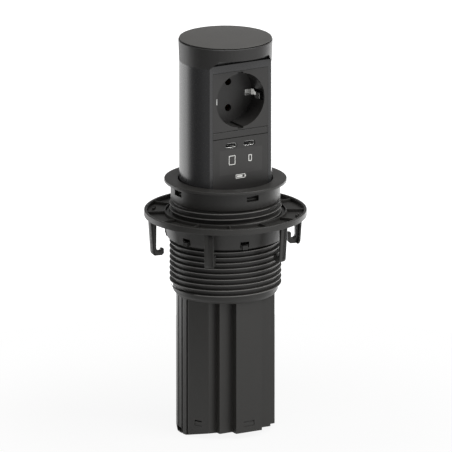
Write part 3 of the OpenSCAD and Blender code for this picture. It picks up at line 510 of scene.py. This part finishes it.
def worked_out(holder):
    """The mesh that a holder's modifiers make, after which the holder and its first mesh are gone."""
    graph = bpy.context.evaluated_depsgraph_get()
    made = bpy.data.meshes.new_from_object(holder.evaluated_get(graph), depsgraph=graph)
    first = holder.data
    bpy.data.objects.remove(holder)
    bpy.data.meshes.remove(first)
    return made


def bevelled(mesh, width, segments=2, flats=False):
    """A mesh with its corners rounded off, and where flats is set, with its flat faces shaded flat."""
    for polygon in mesh.polygons:
        polygon.use_smooth = True
    holder = held(mesh)
    bevel = holder.modifiers.new("edges", "BEVEL")
    bevel.width = width
    bevel.segments = segments
    bevel.limit_method = "ANGLE"
    bevel.angle_limit = BEVEL_FROM
    if flats:
        weigh = holder.modifiers.new("flats", "WEIGHTED_NORMAL")
        weigh.keep_sharp = True
    made = worked_out(holder)
    if not flats:
        shade_smooth(made, JOINED_CREASE)
    return made


def eased_copy(node, width, segments):
    """A CAD node's own shape with its coplanar triangles joined and its outer edges rounded."""
    bm = bmesh.new()
    bm.from_mesh(frame["nodes"][node].data)
    bmesh.ops.remove_doubles(bm, verts=bm.verts, dist=0.002 * MM)
    bmesh.ops.dissolve_limit(bm, angle_limit=COPLANAR, verts=bm.verts, edges=bm.edges)
    mesh = bpy.data.meshes.new(node + "_eased")
    bm.to_mesh(mesh)
    bm.free()
    return bevelled(mesh, width, segments, flats=True)


def ease_node(node, width, segments=2):
    """Replaces a CAD node by its eased copy on the same body."""
    body = frame["nodes"][node]["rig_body"]
    piece = new_piece(node + "_moulded", eased_copy(node, width, segments), body, slot_of(node))
    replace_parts(piece, node)
    return piece


def input_id(tree, name):
    """The identifier of a node group's input, which a modifier is set by."""
    return next(i.identifier for i in tree.interface.items_tree if i.in_out == "INPUT" and i.name == name)


def new_tree(name, **inputs):
    """A geometry tree with its named inputs, and the sockets that give them."""
    tree = bpy.data.node_groups.new(name, "GeometryNodeTree")
    for label, kind in inputs.items():
        tree.interface.new_socket(label, in_out="INPUT", socket_type="NodeSocket" + kind)
    tree.interface.new_socket("Geometry", in_out="OUTPUT", socket_type="NodeSocketGeometry")
    return tree, add_node(tree, "NodeGroupInput").outputs


def end_tree(tree, geometry, material):
    """Ends a tree in real geometry with its material, because the export drops instances."""
    real = add_node(tree, "GeometryNodeRealizeInstances", {"Geometry": geometry}).outputs["Geometry"]
    coated = add_node(tree, "GeometryNodeSetMaterial", {"Geometry": real, "Material": material})
    add_node(tree, "NodeGroupOutput", {"Geometry": coated.outputs["Geometry"]})
    return tree


def grown_from(mesh, tree, **values):
    """What a tree with its named inputs set makes of a mesh."""
    holder = held(mesh)
    grow = holder.modifiers.new("grow", "NODES")
    grow.node_group = tree
    for name, value in values.items():
        grow[input_id(tree, name)] = value
    made = worked_out(holder)
    shade_smooth(made, JOINED_CREASE)
    return made


def ring_array_tree():
    """A tree that copies its geometry round the upright axis."""
    if "ring_array" in bpy.data.node_groups:
        return bpy.data.node_groups["ring_array"]
    tree, given = new_tree("ring_array", Geometry="Geometry", Count="Int", Start="Float", Material="Material")
    points = add_node(tree, "GeometryNodePoints", {"Count": given["Count"]}).outputs["Points"]
    index = add_node(tree, "GeometryNodeInputIndex").outputs["Index"]
    share = add_node(tree, "ShaderNodeMath", {0: index, 1: given["Count"]}, operation="DIVIDE").outputs[0]
    turn = add_node(tree, "ShaderNodeMath", {0: share, 1: 2 * math.pi, 2: given["Start"]},
                    operation="MULTIPLY_ADD").outputs[0]
    euler = add_node(tree, "ShaderNodeCombineXYZ", {"Z": turn}).outputs["Vector"]
    rotation = add_node(tree, "FunctionNodeEulerToRotation", {"Euler": euler}).outputs["Rotation"]
    copies = add_node(tree, "GeometryNodeInstanceOnPoints", {
        "Points": points, "Instance": given["Geometry"], "Rotation": rotation,
    }).outputs["Instances"]
    return end_tree(tree, copies, given["Material"])


def ring_array(mesh, count, start, slot):
    """One mesh copied round the axis, as one mesh."""
    return grown_from(mesh, ring_array_tree(), Count=count, Start=start, Material=finish_of(slot))


def thread_tree():
    """A tree that sweeps a rounded ridge along a right-handed helix, thin at both ends."""
    tree, given = new_tree(
        "thread_ridge", Geometry="Geometry", Points="Int", Step="Float", Start="Float", Radius="Float", Foot="Float",
        Pitch="Float", Depth="Float", Root="Float", Crest="Float", Fillet="Float", Material="Material",
    )
    line = add_node(tree, "GeometryNodeMeshLine", {"Count": given["Points"]}).outputs["Mesh"]
    curve = add_node(tree, "GeometryNodeMeshToCurve", {"Mesh": line}).outputs["Curve"]
    index = add_node(tree, "GeometryNodeInputIndex").outputs["Index"]
    factor = add_node(tree, "GeometryNodeSplineParameter").outputs["Factor"]
    sums = {}
    for label, operation, *terms in (
        ("swept", "MULTIPLY", index, given["Step"]),
        ("angle", "ADD", "swept", given["Start"]),
        ("sine", "SINE", "angle"),
        ("x", "MULTIPLY", "sine", given["Radius"]),
        ("cosine", "COSINE", "angle"),
        ("ahead", "MULTIPLY", "cosine", given["Radius"]),
        ("y", "MULTIPLY", "ahead", -1.0),
        ("turns", "DIVIDE", "swept", 2 * math.pi),
        ("climb", "MULTIPLY", "turns", given["Pitch"]),
        ("z", "ADD", "climb", given["Foot"]),
        ("left_over", "SUBTRACT", 1.0, factor),
        ("near_end", "MINIMUM", factor, "left_over"),
        ("growth", "MULTIPLY", "near_end", THREAD_GROWTH),
        ("swell", "MINIMUM", "growth", 1.0),
        ("width", "MAXIMUM", "swell", THREAD_END),
    ):
        inputs = {i: sums[term] if isinstance(term, str) else term for i, term in enumerate(terms)}
        sums[label] = add_node(tree, "ShaderNodeMath", inputs, operation=operation).outputs[0]
    place = add_node(tree, "ShaderNodeCombineXYZ", {"X": sums["x"], "Y": sums["y"], "Z": sums["z"]})
    helix = add_node(tree, "GeometryNodeSetPosition", {"Geometry": curve, "Position": place.outputs["Vector"]})
    upright = add_node(tree, "GeometryNodeSetCurveNormal", {"Curve": helix.outputs["Geometry"]}, mode="Z_UP")
    sized = add_node(tree, "GeometryNodeSetCurveRadius", {
        "Curve": upright.outputs["Curve"], "Radius": sums["width"],
    }).outputs["Curve"]
    outline = add_node(tree, "GeometryNodeCurvePrimitiveQuadrilateral", {
        "Height": given["Depth"], "Bottom Width": given["Root"], "Top Width": given["Crest"], "Offset": 0.0,
    }, mode="TRAPEZOID").outputs["Curve"]
    rounded = add_node(tree, "GeometryNodeFilletCurve", {
        "Curve": outline, "Radius": given["Fillet"], "Count": 4, "Limit Radius": True,
    }, mode="POLY").outputs["Curve"]
    crest_out = add_node(tree, "GeometryNodeTransform", {
        "Geometry": rounded, "Rotation": (0, 0, -math.pi / 2),
    }).outputs["Geometry"]
    ridge = add_node(tree, "GeometryNodeCurveToMesh", {
        "Curve": sized, "Profile Curve": crest_out, "Fill Caps": True,
        "Scale": add_node(tree, "GeometryNodeInputRadius").outputs["Radius"],
    }).outputs["Mesh"]
    return end_tree(tree, ridge, given["Material"])


def thread_mesh():
    """The thread's ridge, its root sunk into the sleeve."""
    sunk = 0.3 * MM
    steps = bpy.context.scene.socket_sizes.thread_steps
    depth = CREST_R - SLEEVE_R + sunk
    return grown_from(
        bpy.data.meshes.new("holder"), thread_tree(), Points=round(THREAD_TURNS * steps) + 1,
        Step=2 * math.pi / steps, Start=THREAD_START, Radius=CREST_R - depth / 2, Foot=THREAD_FOOT,
        Pitch=THREAD_PITCH, Depth=depth, Root=1.75 * MM, Crest=0.6 * MM, Fillet=0.2 * MM,
        Material=finish_of("housing_plastic"),
    )


def pierced_wall(inner, levels, centres, half, hole_levels):
    """A round wall, its outer profile given as radius and height pairs, with windows of parallel sides."""
    steps = bpy.context.scene.socket_sizes.lathe_steps
    # Each turn is a pair of angles, outside and inside. They differ at a window's sides, which are parallel, and
    # the plain turns near those give way to them
    out_half, in_half = math.asin(half / levels[0][0]), math.asin(half / inner)
    turns = [(2 * math.pi * i / steps,) * 2 for i in range(steps)]
    near = in_half + math.pi / steps
    turns = [t for t in turns if all(not out_half / 2 < abs(wrapped(t[0] - c)) < near for c in centres)]
    for c in centres:
        turns += [((c + side * out_half) % (2 * math.pi), (c + side * in_half) % (2 * math.pi)) for side in (-1, 1)]
    turns.sort()
    bm = bmesh.new()
    outside = [[bm.verts.new(polar(r, t, z)) for r, z in levels] for t, _ in turns]
    inside = [[bm.verts.new(polar(inner, t, z)) for _, z in levels] for _, t in turns]

    def open_cell(i, k):
        """Whether the cell after turn i and above level k lies in a window."""
        here, there = turns[i][0], turns[(i + 1) % len(turns)][0]
        middle = here + ((there - here) % (2 * math.pi)) / 2
        z = (levels[k][1] + levels[k + 1][1]) / 2
        if not min(hole_levels) < z < max(hole_levels):
            return False
        return any(abs(wrapped(middle - c)) < out_half for c in centres)

    n, rows = len(turns), len(levels) - 1
    for i in range(n):
        j = (i + 1) % n
        for k in range(rows):
            if open_cell(i, k):
                # Both ends of each side of the cell, and the cell beyond it
                for (a, p), (b, q), (turn, row) in (
                    ((i, k), (j, k), (i, k - 1)), ((j, k), (j, k + 1), (j, k)),
                    ((j, k + 1), (i, k + 1), (i, k + 1)), ((i, k + 1), (i, k), (i - 1, k)),
                ):
                    if not open_cell(turn % n, row):
                        bm.faces.new((outside[a][p], outside[b][q], inside[b][q], inside[a][p]))
            else:
                bm.faces.new((outside[i][k], outside[j][k], outside[j][k + 1], outside[i][k + 1]))
                bm.faces.new((inside[i][k + 1], inside[j][k + 1], inside[j][k], inside[i][k]))
        for k in (0, rows):
            bm.faces.new((outside[i][k], outside[j][k], inside[j][k], inside[i][k]))
    return finished(bm)


def block(low, high):
    """A plain block, as a mesh to be bevelled or copied round."""
    bm = bmesh.new()
    bmesh.ops.create_cube(bm, size=1)
    size, centre = Vector(high) - Vector(low), (Vector(high) + Vector(low)) / 2
    bmesh.ops.scale(bm, vec=size, verts=bm.verts)
    bmesh.ops.translate(bm, vec=centre, verts=bm.verts)
    return finished(bm)


def radial_plate(outline, half, offset=0.0):
    """A flat outline of radius and height at the front, given a thickness across the radius."""
    bm = bmesh.new()
    sides = [[bm.verts.new((x + offset, -r, z)) for r, z in outline] for x in (-half, half)]
    bm.faces.new(sides[0])
    bm.faces.new(list(reversed(sides[1])))
    for k in range(len(outline)):
        n = (k + 1) % len(outline)
        bm.faces.new((sides[0][k], sides[1][k], sides[1][n], sides[0][n]))
    return finished(bm)


def joined(meshes):
    """Several meshes as one."""
    bm = bmesh.new()
    for mesh in meshes:
        bm.from_mesh(mesh)
    made = bpy.data.meshes.new("joined")
    bm.to_mesh(made)
    bm.free()
    shade_smooth(made, JOINED_CREASE)
    return made


class SOCKET_OT_trim(bpy.types.Operator):
    """Turns the trim ring with its skirt and adds the snap lugs"""

    bl_idname = "socket.trim"
    bl_label = "Trim ring"

    def execute(self, context):
        round_edge = 0.45 * MM
        ease = 0.35 * MM
        under = 0.2 * MM
        seat_r = BAND_R + 0.15 * MM
        profile = [(OPENING_R, SKIRT_FOOT), (SKIRT_R, SKIRT_FOOT), (SKIRT_R, SLEEVE_TOP), (seat_r, SLEEVE_TOP),
                   (seat_r, 0)]
        profile += arc((TRIM_R - under, under), under, -90, 0, 3)
        profile += arc((TRIM_R - round_edge, TRIM_TOP - round_edge), round_edge, 0, 90, 6)
        profile += arc((OPENING_R + ease, TRIM_TOP - ease), ease, 90, 180, 4)
        lugs = ring_array(self.lug(), WINDOW_COUNT, 0.0, "housing_plastic")
        piece = new_piece("trim_ring_moulded", joined([lathe(profile), lugs]), "housing", "housing_plastic")
        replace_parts(piece, "trim_ring")
        return {"FINISHED"}

    def lug(self):
        """A snap lug in the lower half of a window, its upper corner sloped to slip in."""
        low, high = WINDOW_Z[0] + 0.1 * MM, WINDOW_Z[0] + 2.1 * MM
        root, tip = OPENING_R + 0.6 * MM, SLEEVE_R - 0.9 * MM
        slope = 0.7 * MM
        side_play = 0.15 * MM
        lug_edge = 0.12 * MM
        outline = [(root, low), (tip, low), (tip, high - slope), (tip - slope, high), (root, high)]
        return bevelled(radial_plate(outline, WINDOW_W / 2 - side_play), lug_edge)


class SOCKET_OT_sleeve(bpy.types.Operator):
    """Makes the neck with its windows and sweeps the thread round it"""

    bl_idname = "socket.sleeve"
    bl_label = "Threaded sleeve"

    def execute(self, context):
        foot = SLEEVE_FOOT
        lip = 0.2 * MM
        slope = 1.2 * MM
        # Down the outside: the neck band, its lip, the slope to the thread's root, and the rounded foot, whose
        # points are given as millimetres in from the root and up from the foot
        levels = [
            (BAND_R, SLEEVE_TOP), (BAND_R, WINDOW_Z[1]), (BAND_R, WINDOW_Z[0]), (BAND_R, BAND_FOOT + lip),
            (BAND_R - lip, BAND_FOOT - lip), (SLEEVE_R, BAND_FOOT - slope),
        ]
        levels += [(SLEEVE_R - inward * MM, foot + up * MM)
                   for inward, up in ((0, 2.9), (0.1, 2.4), (0.5, 1.7), (1.6, 0.3), (1.9, 0))]
        centres = [2 * math.pi * k / WINDOW_COUNT for k in range(WINDOW_COUNT)]
        wall = pierced_wall(SLEEVE_BORE, levels, centres, WINDOW_W / 2, WINDOW_Z)
        piece = new_piece("threaded_sleeve_moulded", joined([wall, thread_mesh()]), "housing", "housing_plastic")
        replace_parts(piece, "threaded_sleeve")
        return {"FINISHED"}


class SOCKET_OT_tube(bpy.types.Operator):
    """Eases the guide tube's panels and the base cap"""

    bl_idname = "socket.tube"
    bl_label = "Guide tube and base"

    def execute(self, context):
        panel_edge = 0.55 * MM
        ease_node("guide_tube", panel_edge, segments=3)
        ease_node("base_cap", context.scene.socket_sizes.edge)
        return {"FINISHED"}


class SOCKET_OT_clamp(bpy.types.Operator):
    """Turns the clamp tray and copies its ribs, bumps and hooks round it"""

    bl_idname = "socket.clamp"
    bl_label = "Clamp ring"

    def execute(self, context):
        edge = context.scene.socket_sizes.edge
        rim = 0.45 * MM
        ease = 0.3 * MM
        tray = [(HUB_BORE, LIP_SEAT), (HUB_BORE, CLAMP_UNDER)]
        tray += arc((CLAMP_R - rim, CLAMP_UNDER + rim), rim, -90, 0, 4)
        tray += arc((CLAMP_R - rim, CLAMP_TOP - rim), rim, 0, 90, 4)
        tray += arc((CLAMP_R - CLAMP_RIM + rim, CLAMP_TOP - rim), rim, 90, 180, 4)
        tray += [(CLAMP_R - CLAMP_RIM, CLAMP_FLOOR), (HUB_R, CLAMP_FLOOR)]
        tray += arc((HUB_R - ease, HUB_TOP - ease), ease, 0, 90, 3)
        tray += [(LIP_BORE, HUB_TOP), (LIP_BORE, LIP_SEAT)]
        rib_half = 0.6 * MM
        rib_top = CLAMP_TOP - 0.9 * MM
        into_walls = 0.5 * MM
        rib = block((-rib_half, -(CLAMP_R - CLAMP_RIM + into_walls), CLAMP_FLOOR - OVERLAP),
                    (rib_half, -(HUB_R - into_walls), rib_top))
        ribs = ring_array(bevelled(rib, FINE_EDGE), RIB_COUNT, RIB_START, "housing_plastic")
        bumps = ring_array(self.bump_pair(), BUMP_COUNT, BUMP_START, "housing_plastic")
        hooks = [ring_array(self.hook(edge, foot_t, tip_h), HOOK_COUNT, start, "housing_plastic")
                 for start, foot_t, tip_h in (TALL_HOOKS, LOW_HOOKS)]
        piece = new_piece("clamp_ring_moulded", joined([lathe(tray), ribs, bumps, *hooks]), "clamp",
                          "housing_plastic")
        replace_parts(piece, "clamp_ring")
        return {"FINISHED"}

    def bump_pair(self):
        """Two low tapered bumps side by side on the tray's floor."""
        bump_r = 1.1 * MM
        bump_h = 1.9 * MM
        taper = 0.8
        bump_c = CLAMP_R - 5.9 * MM
        bump_z = CLAMP_FLOOR + 0.85 * MM
        half_apart = 1.9 * MM
        bm = bmesh.new()
        for side in (-1, 1):
            made = bmesh.ops.create_cone(bm, cap_ends=True, segments=24, radius1=bump_r, radius2=bump_r * taper,
                                         depth=bump_h)["verts"]
            bmesh.ops.translate(bm, vec=(side * half_apart, -bump_c, bump_z), verts=made)
        return bevelled(finished(bm), FINE_EDGE)

    def hook(self, edge, foot_t, tip_h):
        """The outline of the CAD hook, its inner corner rounded, as a web behind a wider skin."""
        top = CLAMP_R - 1.2 * MM
        foot = top - 1.6 * MM
        low = HOOK_FOOT
        floor = low + foot_t
        root = CLAMP_UNDER + OVERLAP
        leg, heel, toe = 4.3 * MM, 2.4 * MM, 1.4 * MM
        tip = top - 9.8 * MM
        tip_t = 2 * MM
        crook = 2.6 * MM
        ease = 0.4 * MM
        skin_t, skin_foot = 1.4 * MM, 2.6 * MM
        web_half, skin_half, skin_aside = 2.1 * MM, 3.3 * MM, -1.2 * MM
        outer = [(top, root), (foot, low + heel), (foot - 0.35 * MM, low + 0.9 * MM), (foot - heel / 2, low)]
        web = outer + [(tip + toe, low), (tip, low + toe), (tip, floor + tip_h), (tip + tip_t, floor + tip_h),
                       (tip + tip_t, floor + ease), (tip + tip_t + ease, floor)]
        web += arc((foot - leg - 0.8 * MM, floor + crook), crook, -90, 0, 6)
        web += [(top - leg, root)]
        skin = outer + [(foot - skin_foot, low), (foot - skin_t, low + heel), (top - skin_t, root)]
        return joined([
            bevelled(radial_plate(web, web_half), edge),
            bevelled(radial_plate(skin, skin_half, skin_aside), FINE_EDGE),
        ])


class SOCKET_OT_nut(bpy.types.Operator):
    """Eases the nut under the clamp ring"""

    bl_idname = "socket.nut"
    bl_label = "Lock nut"

    def execute(self, context):
        ease_node("lock_nut", FINE_EDGE)
        return {"FINISHED"}


class SOCKET_OT_tower(bpy.types.Operator):
    """Eases the shell, cap and carriage of the tower"""

    bl_idname = "socket.tower"
    bl_label = "Tower shell and cap"

    def execute(self, context):
        skirt_edge = 0.8 * MM
        for node in ("tower_shell", "carriage"):
            ease_node(node, context.scene.socket_sizes.edge, segments=3)
        ease_node("cap_skirt", skirt_edge, segments=4)
        piece = new_piece("cap_lid_moulded", self.lid(), "tower", "lid_plastic")
        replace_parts(piece, "cap_lid")
        return {"FINISHED"}

    def lid(self):
        """The lid with its spigot, and a groove under its rim that reads as a dark line above the skirt."""
        rim, top = LID_HIGH.x, LID_HIGH.z
        under = top - 2 * MM
        seam = top - 1 * MM
        spigot, spigot_foot = rim - 1.75 * MM, seam - 2.6 * MM
        inner = spigot - 1.6 * MM
        groove_top = seam + 0.55 * MM
        profile = [
            (0, under), (inner, under), (inner, spigot_foot), (spigot, spigot_foot), (spigot, seam),
            (rim - 1.2 * MM, seam), (rim - 1.1 * MM, groove_top), (rim - 0.1 * MM, groove_top),
            (rim, groove_top + 0.1 * MM),
        ]
        profile += arc((rim - FINE_EDGE, top - FINE_EDGE), FINE_EDGE, 0, 90, 6)
        return lathe([*profile, (0, top)])


class SOCKET_OT_modules(bpy.types.Operator):
    """Eases the modules and prints the icons on the charger"""

    bl_idname = "socket.modules"
    bl_label = "Modules"

    def execute(self, context):
        sizes = context.scene.socket_sizes
        module_edge = 0.2 * MM
        for node in ("socket_insert", "charger_front"):
            ease_node(node, module_edge)
        strip = ease_node("spacer_strip", module_edge)
        middle = sum(corner.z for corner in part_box("spacer_strip")) / 2
        for vertex in strip.data.vertices:
            vertex.co.z -= math.copysign(STRIP_SEAM, vertex.co.z - middle)
        for node in ("earth_contact", "port_shells"):
            ease_node(node, sizes.metal_edge)
        device_corner, battery_corner = 0.5 * MM, 0.4 * MM
        battery_stroke = 0.45 * MM
        marks = [self.frame_mark(*TABLET, sizes.stroke, device_corner),
                 self.frame_mark(*PHONE, sizes.stroke, device_corner),
                 self.frame_mark(*BATTERY, battery_stroke, battery_corner), *self.battery_plates()]
        new_piece("printed_icons", joined(marks), "tower", "print")
        return {"FINISHED"}

    def battery_plates(self):
        """The battery's pole at its right end, and the bar inside that shows its charge."""
        x, z, w, h = BATTERY
        pole_x, pole_w = x + w / 2 + 0.35 * MM, 0.5 * MM
        bar_x, bar_w, bar_h = x - 0.6 * MM, w - 3.2 * MM, h - 1.7 * MM
        return self.plate_mark(pole_x, z, pole_w, 0.5 * h), self.plate_mark(bar_x, z, bar_w, bar_h)

    def outline(self, x, z, w, h, radius):
        """Points of a rounded rectangle round a middle."""
        points = []
        for sx, sz, start in ((1, 1, 0), (-1, 1, 90), (-1, -1, 180), (1, -1, 270)):
            points += arc((x + sx * (w / 2 - radius), z + sz * (h / 2 - radius)), radius, start, start + 90, 6)
        return points

    def frame_mark(self, x, z, w, h, stroke, radius):
        """A rounded rectangle printed as a line of ink."""
        bm = bmesh.new()
        loops = []
        for y in (INK_BACK, INK_FRONT):
            for inset in (0, stroke):
                ring = self.outline(x, z, w - 2 * inset, h - 2 * inset, max(radius - inset, INK_CORNER))
                loops.append([bm.verts.new((px, y, pz)) for px, pz in ring])
        n = len(loops[0])
        for a, b in ((0, 1), (1, 3), (3, 2), (2, 0)):
            for k in range(n):
                m = (k + 1) % n
                bm.faces.new((loops[a][k], loops[a][m], loops[b][m], loops[b][k]))
        return finished(bm, merge=INK_MERGE)

    def plate_mark(self, x, z, w, h):
        """A small filled patch of ink."""
        bm = bmesh.new()
        ring = self.outline(x, z, w, h, INK_CORNER)
        front, back = ([bm.verts.new((px, y, pz)) for px, pz in ring] for y in (INK_FRONT, INK_BACK))
        bm.faces.new(front)
        bm.faces.new(list(reversed(back)))
        for k in range(len(ring)):
            m = (k + 1) % len(ring)
            bm.faces.new((front[k], front[m], back[m], back[k]))
        return finished(bm, merge=INK_MERGE)


class SOCKET_OT_inside(bpy.types.Operator):
    """Coats the pieces inside, which keep their CAD shapes"""

    bl_idname = "socket.inside"
    bl_label = "Inner pieces"

    def execute(self, context):
        replaced = {node for piece in bpy.data.objects for node in (piece.get("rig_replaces") or [])}
        for node in sorted(set(frame["nodes"]) - replaced):
            coat_node(node)
        return {"FINISHED"}


class SOCKET_OT_stage(bpy.types.Operator):
    """Sets the floor, the studio light and the camera"""

    bl_idname = "socket.stage"
    bl_label = "Stage"

    def execute(self, context):
        self.floor()
        self.world()
        self.lamps()
        self.camera()
        context.scene.view_settings.view_transform = "Standard"
        return {"FINISHED"}

    def floor(self):
        """A round pale floor that the camera sees as nearly white, with the object's soft shadow."""
        # Share of plain white in it: near the object, at its rim, and as a glossy surface mirrors it
        near_white, rim_white, mirrored_white = 0.9, 1.0, 0.4
        material, tree = new_material("pale_paper_floor")
        seen = add_node(tree, "ShaderNodeLightPath").outputs
        place = add_node(tree, "ShaderNodeTexCoord").outputs["Object"]
        away = add_node(tree, "ShaderNodeVectorMath", {0: place, 1: (1, 1, 0)}, operation="MULTIPLY")
        away = add_node(tree, "ShaderNodeVectorMath", {0: away.outputs["Vector"]}, operation="LENGTH")
        veil = add_node(tree, "ShaderNodeMapRange", {
            "Value": away.outputs["Value"], "From Min": SHADE_FADES, "From Max": SHADE_GONE, "To Min": near_white,
            "To Max": rim_white,
        }, interpolation_type="SMOOTHSTEP").outputs["Result"]
        glossy = add_node(tree, "ShaderNodeMath", {0: seen["Is Glossy Ray"], 1: mirrored_white}, operation="MULTIPLY")
        share = add_node(tree, "ShaderNodeMath", {0: seen["Is Camera Ray"], 1: veil, 2: glossy.outputs[0]},
                         operation="MULTIPLY_ADD").outputs[0]
        paper = add_node(tree, "ShaderNodeBsdfDiffuse", {"Color": linear("#d2d2d1")}).outputs["BSDF"]
        white = add_node(tree, "ShaderNodeEmission", {"Color": (1, 1, 1, 1), "Strength": 1.0}).outputs["Emission"]
        mixed = add_node(tree, "ShaderNodeMixShader", {0: share, 1: paper, 2: white}).outputs["Shader"]
        add_node(tree, "ShaderNodeOutputMaterial", {"Surface": mixed})
        bm = bmesh.new()
        bmesh.ops.create_circle(bm, cap_ends=True, segments=96, radius=FLOOR_REACH)
        mesh = bpy.data.meshes.new("floor")
        bm.to_mesh(mesh)
        bm.free()
        mesh.transform(Matrix.Translation((0, 0, CAD_BOX[0].z - FLOOR_GAP)))
        mesh.materials.append(material)
        floor = bpy.data.objects.new("floor", mesh)
        bpy.context.scene.collection.objects.link(floor)

    def world(self):
        """A room whose low band is bright behind and dark at the left, under a dim ceiling."""
        world = bpy.data.worlds.new("studio_room")
        world.use_nodes = True
        tree = world.node_tree
        tree.nodes.clear()
        seen = add_node(tree, "ShaderNodeLightPath").outputs
        direction = add_node(tree, "ShaderNodeTexCoord").outputs["Generated"]
        part = add_node(tree, "ShaderNodeSeparateXYZ", {"Vector": direction}).outputs
        front = add_node(tree, "ShaderNodeMath", {0: part["Y"], 1: -1.0}, operation="MULTIPLY").outputs[0]
        azimuth = add_node(tree, "ShaderNodeMath", {0: part["X"], 1: front}, operation="ARCTAN2").outputs[0]
        turn = add_node(tree, "ShaderNodeMapRange", {
            "Value": azimuth, "From Min": -math.pi, "From Max": math.pi, "To Min": 0.0, "To Max": 1.0,
        }).outputs["Result"]
        ramp = add_node(tree, "ShaderNodeValToRGB", {"Fac": turn})
        stops = ramp.color_ramp.elements
        for degrees, _ in LOW_BAND[1:-1]:
            stops.new(degrees / 360 + 0.5)
        for stop, (_, level) in zip(stops, LOW_BAND):
            stop.color = (level / LOW_BAND_TOP,) * 3 + (1,)
        band = add_node(tree, "ShaderNodeMath", {0: ramp.outputs["Color"], 1: LOW_BAND_TOP}, operation="MULTIPLY")
        # Above the low band comes the ceiling, which brightens towards the zenith
        ceiling = add_node(tree, "ShaderNodeMapRange", {
            "Value": part["Z"], "From Min": 0.3, "From Max": 0.9, "To Min": 0.2, "To Max": 0.6,
        }).outputs["Result"]
        upper = add_node(tree, "ShaderNodeMapRange", {
            "Value": part["Z"], "From Min": 0.02, "From Max": 0.16, "To Min": 0.0, "To Max": 1.0,
        }, interpolation_type="SMOOTHSTEP").outputs["Result"]
        level = add_node(tree, "ShaderNodeMix", {0: upper, 2: band.outputs[0], 3: ceiling}).outputs[0]
        strength = add_node(tree, "ShaderNodeMath", {0: seen["Is Camera Ray"], 1: level}, operation="MAXIMUM")
        back = add_node(tree, "ShaderNodeBackground", {"Color": (1, 1, 1, 1), "Strength": strength.outputs[0]})
        add_node(tree, "ShaderNodeOutputWorld", {"Surface": back.outputs["Background"]})
        bpy.context.scene.world = world

    def lamps(self):
        """A broad softbox high at the right front, and a smaller one overhead that lines the upper edges."""
        aimed_at = Vector((0, 0, -0.02))
        # Sizes and places in metres
        for name, size, watts, place in (
            ("right_softbox", (1.1, 0.9), 19, polar(1.25, math.radians(38), 1.2)),
            ("top_softbox", (0.6, 0.4), 6, polar(0.55, math.radians(-30), 1.3)),
        ):
            lamp = bpy.data.lights.new(name, "AREA")
            lamp.shape = "RECTANGLE"
            lamp.size, lamp.size_y = size
            lamp.energy = watts
            holder = bpy.data.objects.new(name, lamp)
            holder.location = place
            holder.rotation_euler = (aimed_at - holder.location).to_track_quat("-Z", "Y").to_euler()
            bpy.context.scene.collection.objects.link(holder)

    def camera(self):
        """A long lens from the photograph's side, almost a parallel view."""
        camera = bpy.data.cameras.new("camera")
        camera.sensor_width = SENSOR
        camera.lens = SENSOR * VIEW_DISTANCE / VIEW_WIDTH
        camera.clip_end = 100
        holder = bpy.data.objects.new("camera", camera)
        right = Vector((math.cos(VIEW_AZIMUTH), math.sin(VIEW_AZIMUTH), 0))
        target = right * VIEW_SIDE + Vector((0, 0, VIEW_Z))
        back = polar(math.cos(VIEW_ELEVATION), VIEW_AZIMUTH, math.sin(VIEW_ELEVATION))
        holder.location = target + back * VIEW_DISTANCE
        holder.rotation_euler = (-back).to_track_quat("-Z", "Y").to_euler()
        bpy.context.scene.collection.objects.link(holder)
        bpy.context.scene.camera = holder


OPERATORS = (
    SOCKET_OT_trim, SOCKET_OT_sleeve, SOCKET_OT_tube, SOCKET_OT_clamp, SOCKET_OT_nut, SOCKET_OT_tower,
    SOCKET_OT_modules, SOCKET_OT_inside, SOCKET_OT_stage,
)


class SOCKET_PT_panel(bpy.types.Panel):
    """The sidebar panel that lists the pieces"""

    bl_idname = "SOCKET_PT_panel"
    bl_label = "Desk socket"
    bl_space_type = "VIEW_3D"
    bl_region_type = "UI"
    bl_category = "Desk socket"

    def draw(self, context):
        for operator in OPERATORS:
            self.layout.operator(operator.bl_idname)
        for name in SocketSizes.__annotations__:
            self.layout.prop(context.scene.socket_sizes, name)
        for name in SocketColours.__annotations__:
            self.layout.prop(context.scene.socket_colours, name)


CLASSES = (SocketSizes, SocketColours, *OPERATORS, SOCKET_PT_panel)


def register():
    for made in CLASSES:
        bpy.utils.register_class(made)
    bpy.types.Scene.socket_sizes = PointerProperty(type=SocketSizes)
    bpy.types.Scene.socket_colours = PointerProperty(type=SocketColours)


def unregister():
    del bpy.types.Scene.socket_colours
    del bpy.types.Scene.socket_sizes
    for made in reversed(CLASSES):
        bpy.utils.unregister_class(made)


def main():
    register()
    for operator in OPERATORS:
        group, name = operator.bl_idname.split(".")
        getattr(getattr(bpy.ops, group), name)()


if __name__ == "__main__":
    main()
